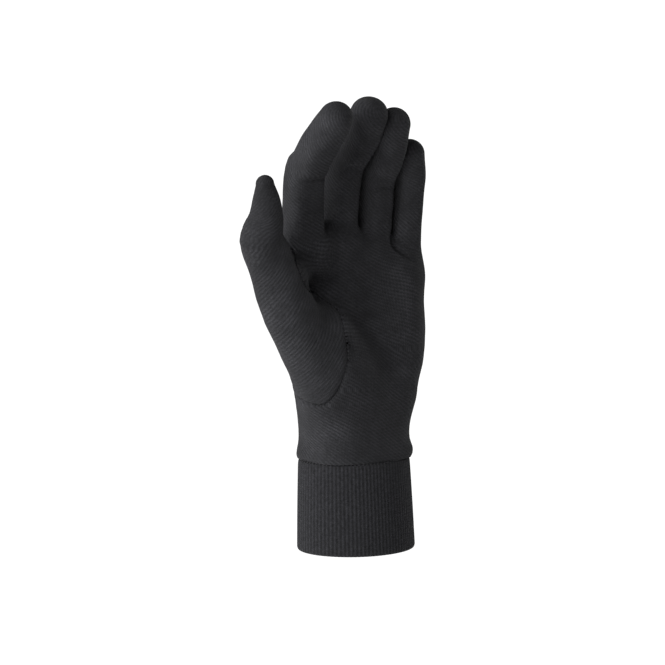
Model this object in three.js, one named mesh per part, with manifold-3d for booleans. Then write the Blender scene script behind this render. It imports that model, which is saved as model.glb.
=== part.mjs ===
// A knitted glove liner for a left hand, worn: a ribbed wrist cuff, a fine knit palm and back,
// a set-in thumb and four slightly bent fingers. Millimetres, +Z up from the cuff's hem to the
// fingertips, the palm toward -Y, the little finger toward +X, the origin at the middle of the
// wrist opening.
import * as THREE from 'three';
import { mergeVertices } from 'three/addons/utils/BufferGeometryUtils.js';
import Module from 'manifold-3d';

const wasm = await Module();
wasm.setup();

// Cloth.
const knitWall = 1.4;
const cuffWall = 2.4;
const seamGap = 0.3;

// Cuff, outside sizes.
const cuffHeight = 47.5;
const cuffHemWidth = 66;
const cuffHemDepth = 53.2;
const cuffTopWidth = 61.6;
const cuffTopDepth = 50;
const cuffLean = -1.2;

// Wrist, from the top of the cuff to the crease of the wrist.
const wristLength = 21.5;
const wristWidth = 58.8;
const wristDepth = 43.6;
const wristAside = -1.5;

// Palm, from the crease of the wrist to the root of the middle finger.
const palmLength = 85;
const palmWidth = 76;
const palmDepth = 26;

// Fingers: the height from the root to the middle of the tip as worn, and the width.
const indexReach = 75.6;
const indexWidth = 19.6;
const middleReach = 73.6;
const middleWidth = 19.4;
const ringReach = 72;
const ringWidth = 18.4;
const littleReach = 64;
const littleWidth = 16.6;

// Thumb: the height from the crease of the wrist to the middle of the tip, and the width.
const thumbReach = 124.6;
const thumbWidth = 22;

// Soft blends between the forms under the cloth.
const palmBlend = 10;
const heelBlend = 20;
const ballBlend = 18;
const webBlend = 8;
const thumbBlend = 9;

// Where the finger tubes meet the palm: a plane that falls toward the little finger.
const fingerSeamRise = 16;
const fingerSeamFall = 0.24;

// The size of a facet across the hand, and how much longer it is along it.
const facet = 5.5;
const facetStretch = 1.4;
const cuffSides = 40;
const squareness = 2.6;

const wristFloor = cuffHeight + seamGap;
const creaseHeight = cuffHeight + wristLength;
const rootHeight = creaseHeight + palmLength;

// Sections at the top of the cuff: height in wrist lengths, width and depth in cuff top sizes.
const cuffEndRows = [
  { up: -0.3, width: 0.968, depth: 0.96 },
  { up: 0.12, width: 0.974, depth: 0.968 },
];

// Sections of the wrist: height in wrist lengths, width and depth in wrist sizes.
const wristRows = [
  { up: 0.44, width: 0.993, depth: 1.064 },
  { up: 1, width: 1, depth: 1 },
];

// Sections of the palm from the crease up: height in palm lengths, the rest in palm sizes.
const palmRows = [
  { up: 0.19, aside: 0.005, back: 0.02, width: 0.853, depth: 1.446 },
  { up: 0.424, aside: 0.021, back: 0.058, width: 0.974, depth: 1.2 },
  { up: 0.706, aside: 0.007, back: 0.096, width: 1, depth: 1 },
  { up: 0.906, aside: 0, back: 0.115, width: 0.974, depth: 0.923 },
];

// The knuckles, the ball of the thumb, the heel of the hand and the web of the thumb, in palm
// sizes: where each section lies, how wide it is across and how deep.
const knuckleRows = [
  { up: 1.035, aside: -0.408, back: 0.02, width: 0.342, depth: 0.87 },
  { up: 1.041, aside: -0.132, back: 0.096, width: 0.342, depth: 0.87 },
  { up: 0.982, aside: 0.145, back: 0.096, width: 0.342, depth: 0.846 },
  { up: 0.894, aside: 0.389, back: 0.038, width: 0.316, depth: 0.792 },
];
const ballRows = [
  { up: 0.024, aside: -0.105, back: -0.23, width: 0.316, depth: 0.923 },
  { up: 0.212, aside: -0.158, back: -0.385, width: 0.382, depth: 1 },
  { up: 0.518, aside: -0.382, back: -0.5, width: 0.421, depth: 1.04 },
];
const heelRows = [
  { up: 0.188, aside: 0.263, back: -0.154, width: 0.237, depth: 0.769 },
  { up: 0.424, aside: 0.303, back: -0.154, width: 0.27, depth: 0.846 },
  { up: 0.635, aside: 0.316, back: -0.115, width: 0.263, depth: 0.808 },
  { up: 0.824, aside: 0.32, back: -0.077, width: 0.227, depth: 0.769 },
];
const webRows = [
  { up: 0.882, aside: -0.711, back: -0.5, width: 0.21, depth: 0.615 },
  { up: 0.988, aside: -0.474, back: -0.192, width: 0.21, depth: 0.692 },
];

// The root of each finger in palm sizes, then its sections: how far up, forward to the palm's
// side and aside in shares of the reach, width and depth in shares of the finger's width.
const fingers = [
  {
    name: 'index_finger',
    reach: indexReach,
    width: indexWidth,
    root: { up: 0.965, aside: -0.414, back: 0.038 },
    rows: [
      { up: 0, forward: 0, aside: 0, width: 1.06, depth: 1.16 },
      { up: 0.569, forward: 0.04, aside: -0.02, width: 1, depth: 1.03 },
      { up: 0.69, forward: 0.132, aside: -0.044, width: 0.98, depth: 1 },
      { up: 0.813, forward: 0.251, aside: -0.05, width: 0.93, depth: 0.94 },
      { up: 0.913, forward: 0.35, aside: -0.045, width: 0.92, depth: 0.93 },
      { up: 1, forward: 0.437, aside: -0.037, width: 0.888, depth: 0.878 },
    ],
  },
  {
    name: 'middle_finger',
    reach: middleReach,
    width: middleWidth,
    root: { up: 1, aside: -0.118, back: 0.115 },
    rows: [
      { up: 0, forward: 0, aside: 0, width: 1.05, depth: 1.175 },
      { up: 0.602, forward: 0.095, aside: 0, width: 1, depth: 1.052 },
      { up: 0.814, forward: 0.272, aside: -0.026, width: 0.98, depth: 0.98 },
      { up: 1, forward: 0.435, aside: -0.033, width: 0.98, depth: 0.97 },
    ],
  },
  {
    name: 'ring_finger',
    reach: ringReach,
    width: ringWidth,
    root: { up: 0.953, aside: 0.161, back: 0.115 },
    rows: [
      { up: 0, forward: 0, aside: 0, width: 1.087, depth: 1.196 },
      { up: 0.553, forward: 0.097, aside: -0.022, width: 1, depth: 1.065 },
      { up: 0.792, forward: 0.264, aside: -0.049, width: 0.989, depth: 1 },
      { up: 1, forward: 0.375, aside: -0.06, width: 0.967, depth: 0.957 },
    ],
  },
  {
    name: 'little_finger',
    reach: littleReach,
    width: littleWidth,
    root: { up: 0.847, aside: 0.408, back: 0.077 },
    rows: [
      { up: 0, forward: 0, aside: 0, width: 1.157, depth: 1.277 },
      { up: 0.572, forward: 0.047, aside: 0.033, width: 1, depth: 1.108 },
      { up: 0.805, forward: 0.109, aside: 0.014, width: 0.976, depth: 1.012 },
      { up: 1, forward: 0.203, aside: -0.053, width: 0.964, depth: 0.952 },
    ],
  },
];

// The thumb: heights, steps aside and forward in shares of its reach, width seen from the palm
// side and thickness in shares of its width.
const thumbRows = [
  { up: 0.016, aside: -0.136, forward: 0.032, width: 1.136, depth: 1.09 },
  { up: 0.189, aside: -0.205, forward: 0.064, width: 1.273, depth: 1.5 },
  { up: 0.478, aside: -0.401, forward: 0.12, width: 1.255, depth: 1.345 },
  { up: 0.666, aside: -0.506, forward: 0.144, width: 1.1, depth: 1.09 },
  { up: 0.778, aside: -0.566, forward: 0.16, width: 1.01, depth: 1 },
  { up: 0.877, aside: -0.561, forward: 0.177, width: 0.764, depth: 0.873 },
  { up: 0.946, aside: -0.569, forward: 0.193, width: 0.618, depth: 0.764 },
  { up: 1, aside: -0.579, forward: 0.201, width: 0.49, depth: 0.6 },
];

// The seam of the set-in thumb as seen square to the thumb's face, from the side of the wrist
// round the ball of the thumb to the crotch, in palm sizes up from the crease.
const thumbSeamRows = [
  { aside: -0.5, up: 0.2 },
  { aside: -0.39, up: 0.162 },
  { aside: -0.308, up: 0.13 },
  { aside: -0.24, up: 0.121 },
  { aside: -0.14, up: 0.193 },
  { aside: -0.092, up: 0.253 },
  { aside: -0.053, up: 0.353 },
  { aside: -0.04, up: 0.45 },
  { aside: -0.066, up: 0.588 },
  { aside: -0.113, up: 0.692 },
  { aside: -0.247, up: 0.78 },
  { aside: -0.331, up: 0.876 },
  { aside: -0.382, up: 0.99 },
  { aside: -0.42, up: 1.1 },
];
const thumbFaceTurn = 35;
const thumbSeamDepth = 0.105;
const thumbSeamSlope = 0.35;

const white = 1e-9;

// A row in palm sizes as a section in millimetres: middle, half width, half depth.
function palmSection(row) {
  return [
    wristAside + row.aside * palmWidth,
    row.back * palmDepth,
    creaseHeight + row.up * palmLength,
    (row.width * palmWidth) / 2,
    (row.depth * palmDepth) / 2,
  ];
}

function wristSection(row, width, depth) {
  const height = cuffHeight + row.up * wristLength;
  return [wristAside, 0, height, (row.width * width) / 2, (row.depth * depth) / 2];
}

function fingerSections(finger) {
  const root = palmSection({ ...finger.root, width: 0, depth: 0 });
  return finger.rows.map((row) => [
    root[0] + row.aside * finger.reach,
    root[1] - row.forward * finger.reach,
    root[2] + row.up * finger.reach,
    (row.width * finger.width) / 2,
    (row.depth * finger.width) / 2,
  ]);
}

function thumbSections() {
  return thumbRows.map((row) => [
    wristAside + row.aside * thumbReach,
    -row.forward * thumbReach,
    creaseHeight + row.up * thumbReach,
    (row.depth * thumbWidth) / 2,
    (row.width * thumbWidth) / 2,
  ]);
}

// More sections on a smooth curve through the given ones.
function smoothSections(sections, pieces) {
  const last = sections.length - 1;
  const mirror = (a, b) => a.map((value, i) => 2 * value - b[i]);
  const result = [];
  for (let i = 0; i < last; i += 1) {
    const p1 = sections[i];
    const p2 = sections[i + 1];
    const p0 = i > 0 ? sections[i - 1] : mirror(p1, p2);
    const p3 = i + 2 <= last ? sections[i + 2] : mirror(p2, p1);
    for (let j = 0; j < pieces; j += 1) {
      const t = j / pieces;
      result.push(p1.map((value, k) => {
        const slope = p2[k] - p0[k];
        const bend = 2 * p0[k] - 5 * value + 4 * p2[k] - p3[k];
        const twist = 3 * value - p0[k] - 3 * p2[k] + p3[k];
        return 0.5 * (2 * value + slope * t + bend * t * t + twist * t * t * t);
      }));
    }
  }
  result.push(sections[last]);
  return result;
}

// A limb with oval or squarish sections: the distance to its skin, negative inside.
class Limb {
  constructor(sections, across, pieces = 3, power = 2) {
    this.sections = pieces > 1 ? smoothSections(sections, pieces) : sections;
    this.across = new THREE.Vector3(...across).normalize();
    this.power = power;
  }

  distance(x, y, z) {
    let best = Infinity;
    let side = 0;
    let halfWidth = 1;
    let halfDepth = 1;
    for (let i = 0; i + 1 < this.sections.length; i += 1) {
      const [ax, ay, az, aw, ad] = this.sections[i];
      const [bx, by, bz, bw, bd] = this.sections[i + 1];
      const ux = bx - ax;
      const uy = by - ay;
      const uz = bz - az;
      const along = (x - ax) * ux + (y - ay) * uy + (z - az) * uz;
      const t = Math.min(1, Math.max(0, along / (ux * ux + uy * uy + uz * uz)));
      const dx = x - ax - t * ux;
      const dy = y - ay - t * uy;
      const dz = z - az - t * uz;
      const squared = dx * dx + dy * dy + dz * dz;
      if (squared < best) {
        best = squared;
        side = dx * this.across.x + dy * this.across.y + dz * this.across.z;
        halfWidth = aw + (bw - aw) * t;
        halfDepth = ad + (bd - ad) * t;
      }
    }
    const u = Math.abs(side);
    const v = Math.sqrt(Math.max(best - side * side, 0));
    if (this.power === 2) {
      const k0 = Math.hypot(u / halfWidth, v / halfDepth) + white;
      const k1 = Math.hypot(u / halfWidth ** 2, v / halfDepth ** 2) + white;
      return (k0 * (k0 - 1)) / k1;
    }
    const n = this.power;
    const a = u / halfWidth;
    const b = v / halfDepth;
    const k = (a ** n + b ** n + white) ** (1 / n);
    const ga = (a ** (n - 1) * k ** (1 - n)) / halfWidth;
    const gb = (b ** (n - 1) * k ** (1 - n)) / halfDepth;
    return (k - 1) / Math.max(Math.hypot(ga, gb), white);
  }
}

function softMin(a, b, blend) {
  const h = Math.min(1, Math.max(0, 0.5 + (0.5 * (b - a)) / blend));
  return b + (a - b) * h - blend * h * (1 - h);
}

const turn = THREE.MathUtils.degToRad(thumbFaceTurn);
const faceOut = [-Math.sin(turn), -Math.cos(turn), 0.12];

const trunk = new Limb(
  [
    ...cuffEndRows.map((row) => wristSection(row, cuffTopWidth, cuffTopDepth)),
    ...wristRows.map((row) => wristSection(row, wristWidth, wristDepth)),
    ...palmRows.map(palmSection),
  ],
  [1, 0, 0],
  2,
  squareness,
);
const knuckles = new Limb(knuckleRows.map(palmSection), [0, 0, 1], 2);
const ball = new Limb(ballRows.map(palmSection), [0.8, -0.5, 0.3], 2);
const heel = new Limb(heelRows.map(palmSection), [1, 0, 0], 2);
const web = new Limb(webRows.map(palmSection), [0, 0.3, 1], 1);
const thumbLimb = new Limb(thumbSections(), faceOut);
const fingerLimbs = fingers.map((finger) => new Limb(fingerSections(finger), [1, 0, 0]));

function palmDistance(x, y, z) {
  let d = softMin(trunk.distance(x, y, z), knuckles.distance(x, y, z), palmBlend);
  d = softMin(d, heel.distance(x, y, z), heelBlend);
  d = softMin(d, ball.distance(x, y, z), ballBlend);
  return softMin(d, web.distance(x, y, z), webBlend);
}

function fingerSeamHeight(x) {
  return rootHeight + fingerSeamRise - fingerSeamFall * (x - wristAside);
}

// The wrist, the palm, the back and the thumb.
function handDistance(x, y, z) {
  const d = softMin(palmDistance(x, y, z), thumbLimb.distance(x, y, z), thumbBlend);
  return Math.max(d, wristFloor - 2 * facet - z);
}

// The corners of a grid cell, its edges as corner pairs, and its faces as rings of corners.
const cellCorners = [0, 1, 2, 3, 4, 5, 6, 7].map((c) => [c & 1, (c >> 1) & 1, (c >> 2) & 1]);
const cellEdges = cellCorners.flatMap((corner, from) => [0, 1, 2]
  .filter((axis) => corner[axis] === 0)
  .map((axis) => ({ from, to: from | (1 << axis), axis })));
const cellFaces = [
  [0, 2, 6, 4],
  [1, 3, 7, 5],
  [0, 1, 5, 4],
  [2, 3, 7, 6],
  [0, 1, 3, 2],
  [4, 5, 7, 6],
];

function edgeBetween(a, b) {
  return cellEdges.findIndex(({ from, to }) => from === Math.min(a, b) && to === Math.max(a, b));
}

const faceEdges = cellFaces.map((ring) => ring.map((a, i) => edgeBetween(a, ring[(i + 1) % 4])));

// The crossed edges of a cell, sorted into the separate sheets of skin that pass through it. A
// face with all four edges crossed parts its inner corners, or its outer ones if it is turned.
function sheetsOf(values, isTurned) {
  const crossed = cellEdges.map(({ from, to }) => values[from] < 0 !== values[to] < 0);
  const sheet = cellEdges.map((edge, i) => i);
  const join = (a, b) => {
    const old = sheet[b];
    const kept = sheet[a];
    sheet.forEach((value, i) => {
      if (value === old) {
        sheet[i] = kept;
      }
    });
  };
  cellFaces.forEach((ring, f) => {
    const cut = faceEdges[f].filter((edge) => crossed[edge]);
    if (cut.length === 2) {
      join(cut[0], cut[1]);
    }
    if (cut.length === 4) {
      ring.forEach((corner, i) => {
        if (values[corner] < 0 !== isTurned(f)) {
          join(faceEdges[f][i], faceEdges[f][(i + 3) % 4]);
        }
      });
    }
  });
  const groups = new Map();
  crossed.forEach((isCrossed, edge) => {
    if (isCrossed) {
      groups.set(sheet[edge], [...(groups.get(sheet[edge]) ?? []), edge]);
    }
  });
  return [...groups.values()];
}

// The skin where a distance is nil, as a closed net of quads with its corners near the skin.
function skin(distance, low, high) {
  const wanted = [facet, facet, facet * facetStretch];
  const count = [0, 1, 2].map((k) => Math.ceil((high[k] - low[k]) / wanted[k]));
  const step = [0, 1, 2].map((k) => (high[k] - low[k]) / count[k]);
  const points = count.map((n) => n + 1);
  const at = (i, j, k) => (k * points[1] + j) * points[0] + i;
  const value = new Float64Array(points[0] * points[1] * points[2]);
  for (let k = 0; k < points[2]; k += 1) {
    for (let j = 0; j < points[1]; j += 1) {
      for (let i = 0; i < points[0]; i += 1) {
        value[at(i, j, k)] = distance(
          low[0] + i * step[0],
          low[1] + j * step[1],
          low[2] + k * step[2],
        );
      }
    }
  }
  const crossedCells = [];
  for (let k = 0; k < count[2]; k += 1) {
    for (let j = 0; j < count[1]; j += 1) {
      for (let i = 0; i < count[0]; i += 1) {
        const values = cellCorners.map(([p, q, r]) => value[at(i + p, j + q, k + r)]);
        if (values.some((v) => v < 0) && values.some((v) => v >= 0)) {
          crossedCells.push({ cell: [i, j, k], values });
        }
      }
    }
  }
  const faceKey = ([i, j, k], f) => {
    const axis = f >> 1;
    const next = cellCorners[1 << axis].map((part) => part * (f & 1));
    return at(i + next[0], j + next[1], k + next[2]) * 3 + axis;
  };
  // A face whose four edges lie on one sheet in both of its cells is turned in both.
  const uses = new Map();
  for (const { cell, values } of crossedCells) {
    const sheets = sheetsOf(values, () => false);
    faceEdges.forEach((edges, f) => {
      if (sheets.some((sheet) => edges.every((edge) => sheet.includes(edge)))) {
        const key = faceKey(cell, f);
        uses.set(key, (uses.get(key) ?? 0) + 1);
      }
    });
  }
  const vertices = [];
  const cornerOf = new Map();
  for (const { cell, values } of crossedCells) {
    const [i, j, k] = cell;
    for (const sheet of sheetsOf(values, (f) => uses.get(faceKey(cell, f)) === 2)) {
      const middle = [0, 0, 0];
      for (const index of sheet) {
        const { from, to, axis } = cellEdges[index];
        const t = values[from] / (values[from] - values[to]);
        cellCorners[from].forEach((part, m) => {
          middle[m] += (part + (m === axis ? t : 0)) / sheet.length;
        });
        cornerOf.set(at(i, j, k) * 12 + index, vertices.length);
      }
      vertices.push(middle.map((part, m) => low[m] + (cell[m] + part) * step[m]));
    }
  }
  const triangles = [];
  const around = [
    [[0, 0, 0], [0, 1, 0], [0, 1, 1], [0, 0, 1]],
    [[0, 0, 0], [0, 0, 1], [1, 0, 1], [1, 0, 0]],
    [[0, 0, 0], [1, 0, 0], [1, 1, 0], [0, 1, 0]],
  ];
  for (let k = 1; k < count[2]; k += 1) {
    for (let j = 1; j < count[1]; j += 1) {
      for (let i = 1; i < count[0]; i += 1) {
        const here = value[at(i, j, k)] < 0;
        for (let m = 0; m < 3; m += 1) {
          const [p, q, r] = cellCorners[1 << m];
          if (here !== value[at(i + p, j + q, k + r)] < 0) {
            const quad = around[m].map(([a, b, c]) => {
              const from = a + 2 * b + 4 * c;
              const edge = edgeBetween(from, from | (1 << m));
              return cornerOf.get(at(i - a, j - b, k - c) * 12 + edge);
            });
            const [v0, v1, v2, v3] = here ? quad : [...quad].reverse();
            triangles.push(v0, v1, v2, v0, v2, v3);
          }
        }
      }
    }
  }
  return { vertices, triangles };
}

function slopeOf(distance, [x, y, z]) {
  const e = 0.05;
  const slope = new THREE.Vector3(
    distance(x + e, y, z) - distance(x - e, y, z),
    distance(x, y + e, z) - distance(x, y - e, z),
    distance(x, y, z + e) - distance(x, y, z - e),
  );
  return slope.divideScalar(2 * e);
}

// The corners moved along the slope until the distance there is the wanted one.
function settle(net, distance, wanted) {
  const vertices = net.vertices.map((vertex) => {
    let point = vertex;
    for (let pass = 0; pass < 3; pass += 1) {
      const slope = slopeOf(distance, point);
      const lengthSquared = Math.max(slope.lengthSq(), 0.25);
      const move = (wanted - distance(...point)) / lengthSquared;
      const limit = facet / 2 / Math.max(Math.abs(move) * slope.length(), facet / 2);
      point = [
        point[0] + slope.x * move * limit,
        point[1] + slope.y * move * limit,
        point[2] + slope.z * move * limit,
      ];
    }
    return point;
  });
  return { vertices, triangles: net.triangles };
}

function solidOf(net) {
  const vertProperties = new Float32Array(net.vertices.flat());
  const triVerts = new Uint32Array(net.triangles);
  return new wasm.Manifold(new wasm.Mesh({ numProp: 3, vertProperties, triVerts }));
}

function solidOfGeometry(source) {
  let geometry = source.index ? source.toNonIndexed() : source.clone();
  geometry.deleteAttribute('normal');
  geometry.deleteAttribute('uv');
  geometry = mergeVertices(geometry, 1e-4);
  const vertProperties = new Float32Array(geometry.attributes.position.array);
  const triVerts = new Uint32Array(geometry.index.array);
  return new wasm.Manifold(new wasm.Mesh({ numProp: 3, vertProperties, triVerts }));
}

function geometryOf(solid) {
  const mesh = solid.getMesh();
  const geometry = new THREE.BufferGeometry();
  const position = new Float32Array(mesh.vertProperties);
  geometry.setAttribute('position', new THREE.BufferAttribute(position, 3));
  geometry.setIndex(new THREE.BufferAttribute(new Uint32Array(mesh.triVerts), 1));
  geometry.computeVertexNormals();
  return geometry;
}

// A body inside its skin, and the same body less the cloth's thickness.
function bodyOf(distance, low, high) {
  const outside = settle(skin(distance, low, high), distance, 0);
  const inside = settle(outside, distance, -knitWall);
  return { outer: solidOf(outside), inner: solidOf(inside) };
}

// A box large enough to hold everything above or below a plane through the given point.
function halfSpace(point, normal) {
  const size = 4 * (creaseHeight + thumbReach);
  const box = new THREE.BoxGeometry(size, size, size);
  const up = new THREE.Vector3(...normal).normalize();
  box.translate(0, 0, size / 2);
  box.applyQuaternion(new THREE.Quaternion().setFromUnitVectors(new THREE.Vector3(0, 0, 1), up));
  box.translate(...point);
  return solidOfGeometry(box);
}

// Above the plane where the fingers meet the palm, moved along the plane's normal.
function aboveFingerSeam(shift) {
  const normal = new THREE.Vector3(fingerSeamFall, 0, 1).normalize();
  const height = fingerSeamHeight(wristAside);
  const point = [wristAside + normal.x * shift, 0, height + normal.z * shift];
  return halfSpace(point, normal.toArray());
}

// Everything on the thumb's side of its seam, with the seam moved outward by a margin.
function thumbSide(margin) {
  const reach = creaseHeight + thumbReach + thumbWidth;
  const seam = thumbSeamRows.map((row) => new THREE.Vector2(
    wristAside * Math.cos(turn) + row.aside * palmWidth,
    creaseHeight + row.up * palmLength,
  ));
  const curve = new THREE.SplineCurve(seam).getPoints(3 * seam.length);
  const moved = curve.map((point, i) => {
    const before = curve[Math.max(i - 1, 0)];
    const after = curve[Math.min(i + 1, curve.length - 1)];
    const along = after.clone().sub(before).normalize();
    return new THREE.Vector2(point.x + along.y * margin, point.y - along.x * margin);
  });
  const first = moved[0];
  const last = moved[moved.length - 1];
  const outline = new THREE.Shape([
    new THREE.Vector2(-reach, first.y),
    ...moved,
    new THREE.Vector2(last.x, reach),
    new THREE.Vector2(-reach, reach),
  ]);
  const block = new THREE.ExtrudeGeometry(outline, { depth: 2 * reach, bevelEnabled: false });
  block.translate(0, 0, -reach);
  block.rotateX(Math.PI / 2);
  block.rotateZ(-turn);
  const base = thumbSeamDepth * palmWidth - margin;
  const foot = [faceOut[0] * base, faceOut[1] * base, creaseHeight + palmLength * 0.27];
  const side = halfSpace(foot, [faceOut[0], faceOut[1], -thumbSeamSlope]);
  return solidOfGeometry(block).intersect(side);
}

// The cuff: two layers of rib turned at the hem, as a closed wall round the wrist.
function cuffGeometry() {
  const half = cuffWall / 2;
  const profile = [];
  const far = cuffHemWidth;
  for (let i = 0; i <= 4; i += 1) {
    const angle = -(Math.PI * i) / 4;
    profile.push(new THREE.Vector2(far - half * Math.cos(angle), half + half * Math.sin(angle)));
  }
  for (let i = 1; i < 3; i += 1) {
    profile.push(new THREE.Vector2(far + half, half + ((cuffHeight - 2 * half) * i) / 3));
  }
  profile.push(new THREE.Vector2(far + half, cuffHeight - half));
  profile.push(new THREE.Vector2(far + half * 0.7, cuffHeight - half * 0.3));
  profile.push(new THREE.Vector2(far, cuffHeight));
  profile.push(new THREE.Vector2(far - half, cuffHeight));
  for (let i = 2; i > 0; i -= 1) {
    profile.push(new THREE.Vector2(far - half, half + ((cuffHeight - 2 * half) * i) / 3));
  }
  profile.push(profile[0].clone());
  let geometry = new THREE.LatheGeometry(profile, cuffSides);
  geometry.rotateX(Math.PI / 2);
  geometry.deleteAttribute('normal');
  geometry.deleteAttribute('uv');
  geometry = mergeVertices(geometry, 1e-4);
  const position = geometry.attributes.position;
  for (let i = 0; i < position.count; i += 1) {
    const x = position.getX(i);
    const y = position.getY(i);
    const z = position.getZ(i);
    const radius = Math.hypot(x, y);
    const share = z / cuffHeight;
    const offset = radius - far - half;
    const width = cuffHemWidth / 2 + ((cuffTopWidth - cuffHemWidth) / 2) * share + offset;
    const depth = cuffHemDepth / 2 + ((cuffTopDepth - cuffHemDepth) / 2) * share + offset;
    position.setXYZ(i, cuffLean * share + (width * x) / radius, (depth * y) / radius, z);
  }
  return geometry;
}

const ribKnit = new THREE.MeshStandardMaterial({
  name: 'rib knit',
  color: '#2b2b2d',
  roughness: 0.95,
  metalness: 0,
});
const fineKnit = new THREE.MeshStandardMaterial({
  name: 'fine knit',
  color: '#2e2e30',
  roughness: 0.95,
  metalness: 0,
});

const glove = new THREE.Group();
glove.name = 'glove_liner';

function place(name, geometry, material) {
  const mesh = new THREE.Mesh(geometry, material);
  mesh.name = name;
  glove.add(mesh);
}

const margin = 2 * facet * facetStretch;
const palmBody = bodyOf(
  handDistance,
  [
    thumbSections()[4][0] - thumbWidth - margin,
    thumbSections()[7][1] - thumbWidth - margin,
    wristFloor - 2 * facet - margin,
  ],
  [
    wristAside + palmWidth / 2 + margin,
    palmDepth + margin,
    Math.max(rootHeight + palmDepth, creaseHeight + thumbReach + thumbWidth) + margin,
  ],
);
const fingerBodies = fingers.map((finger, i) => {
  const sections = fingerSections(finger);
  const root = sections[0];
  const tip = sections[sections.length - 1];
  const room = finger.width + margin;
  return bodyOf(
    (x, y, z) => fingerLimbs[i].distance(x, y, z),
    [Math.min(root[0], tip[0]) - room, tip[1] - room, root[2] - room],
    [Math.max(root[0], tip[0]) + room, root[1] + room, tip[2] + room],
  );
});

const outerHand = fingerBodies.reduce((sum, body) => sum.add(body.outer), palmBody.outer);
const innerHand = fingerBodies.reduce((sum, body) => sum.add(body.inner), palmBody.inner);
const knit = outerHand.subtract(innerHand);
const hand = knit
  .intersect(halfSpace([0, 0, wristFloor], [0, 0, 1]))
  .subtract(thumbSide(seamGap / 2))
  .subtract(aboveFingerSeam(-seamGap / 2));
const thumb = palmBody.outer.subtract(palmBody.inner).intersect(thumbSide(-seamGap / 2));

place('cuff', cuffGeometry(), ribKnit);
place('hand', geometryOf(hand), fineKnit);
place('thumb', geometryOf(thumb), fineKnit);
fingers.forEach((finger, i) => {
  const sleeve = fingerBodies[i].outer.subtract(fingerBodies[i].inner);
  place(finger.name, geometryOf(sleeve.intersect(aboveFingerSeam(seamGap / 2))), fineKnit);
});

export default glove;
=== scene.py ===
"""A fine knit liner glove for a left hand, filled out and upright, palm side to the viewer.

The cloth of the palm and the fingers is one knitted skin, the thumb is set in with a sewn seam,
and a ribbed cuff is sewn on at the wrist. Lengths in the classes are millimetres; Blender's are
metres, in the frame of the model that this script dresses.
"""
import logging
import math
from dataclasses import dataclass, replace
from enum import Enum
from typing import Any, Callable

import bpy
import numpy as np
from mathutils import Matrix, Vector


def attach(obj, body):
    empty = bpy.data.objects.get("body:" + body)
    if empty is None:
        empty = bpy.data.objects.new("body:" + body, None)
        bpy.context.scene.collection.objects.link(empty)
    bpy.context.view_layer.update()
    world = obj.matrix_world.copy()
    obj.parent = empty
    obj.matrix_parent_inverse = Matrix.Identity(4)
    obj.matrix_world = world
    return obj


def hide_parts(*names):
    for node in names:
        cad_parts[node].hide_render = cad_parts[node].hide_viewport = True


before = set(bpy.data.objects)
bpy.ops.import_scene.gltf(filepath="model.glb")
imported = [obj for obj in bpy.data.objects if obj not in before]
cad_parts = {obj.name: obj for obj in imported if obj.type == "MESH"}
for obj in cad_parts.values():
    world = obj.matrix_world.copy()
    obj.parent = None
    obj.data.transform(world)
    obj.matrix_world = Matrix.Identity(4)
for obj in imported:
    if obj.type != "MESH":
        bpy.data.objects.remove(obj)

MM = 0.001
TINY = 1e-9
FAR = 1e18
TURN = 2 * math.pi
LONGEST_STEP = 1.5  # mm that a point may move at once while it settles
FLATTEST = 0.05  # the least square of a slope that a point settles by
LOG = logging.getLogger("glove")

Array = np.ndarray
Field = Callable[[Array], Array]


class Lean(Enum):
    """Which leg of each knitted stitch stands out."""

    LEFT = -1.0
    RIGHT = 1.0


class Digit(Enum):
    """The four knitted finger tubes, in order across the palm."""

    INDEX = 0
    MIDDLE = 1
    RING = 2
    LITTLE = 3


# ---------------------------------------------------------------- form of the filled glove


def soft_min(a: Array, b: Array, blend: float) -> Array:
    """Joins two distances with a fillet.

    Args:
        a: Distances to the first form.
        b: Distances to the second form.
        blend: Reach of the fillet, in mm.

    Returns:
        Distances to both forms together.
    """
    share = np.clip(0.5 + 0.5 * (b - a) / blend, 0, 1)
    return b + (a - b) * share - blend * share * (1 - share)


def smooth_rows(rows: Array, pieces: int) -> Array:
    """Puts more rows on a smooth curve through the given ones.

    Args:
        rows: Rows of numbers, one row for each chosen place.
        pieces: How many pieces each span is cut into.

    Returns:
        The finer rows, with the chosen ones among them.
    """
    ends = np.vstack([2 * rows[0] - rows[1], rows, 2 * rows[-1] - rows[-2]])
    result = []
    for i in range(1, len(rows)):
        p0, p1, p2, p3 = ends[i - 1], ends[i], ends[i + 1], ends[i + 2]
        for t in np.arange(pieces) / pieces:
            bend = (2 * p0 - 5 * p1 + 4 * p2 - p3) * t * t
            twist = (3 * p1 - p0 - 3 * p2 + p3) * t ** 3
            result.append(0.5 * (2 * p1 + (p2 - p0) * t + bend + twist))
    result.append(rows[-1])
    return np.array(result)


def unit(rows: Array) -> Array:
    """Brings vectors, one in each row, to a length of 1."""
    return rows / np.maximum(np.linalg.norm(rows, axis=1), TINY)[:, None]


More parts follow.
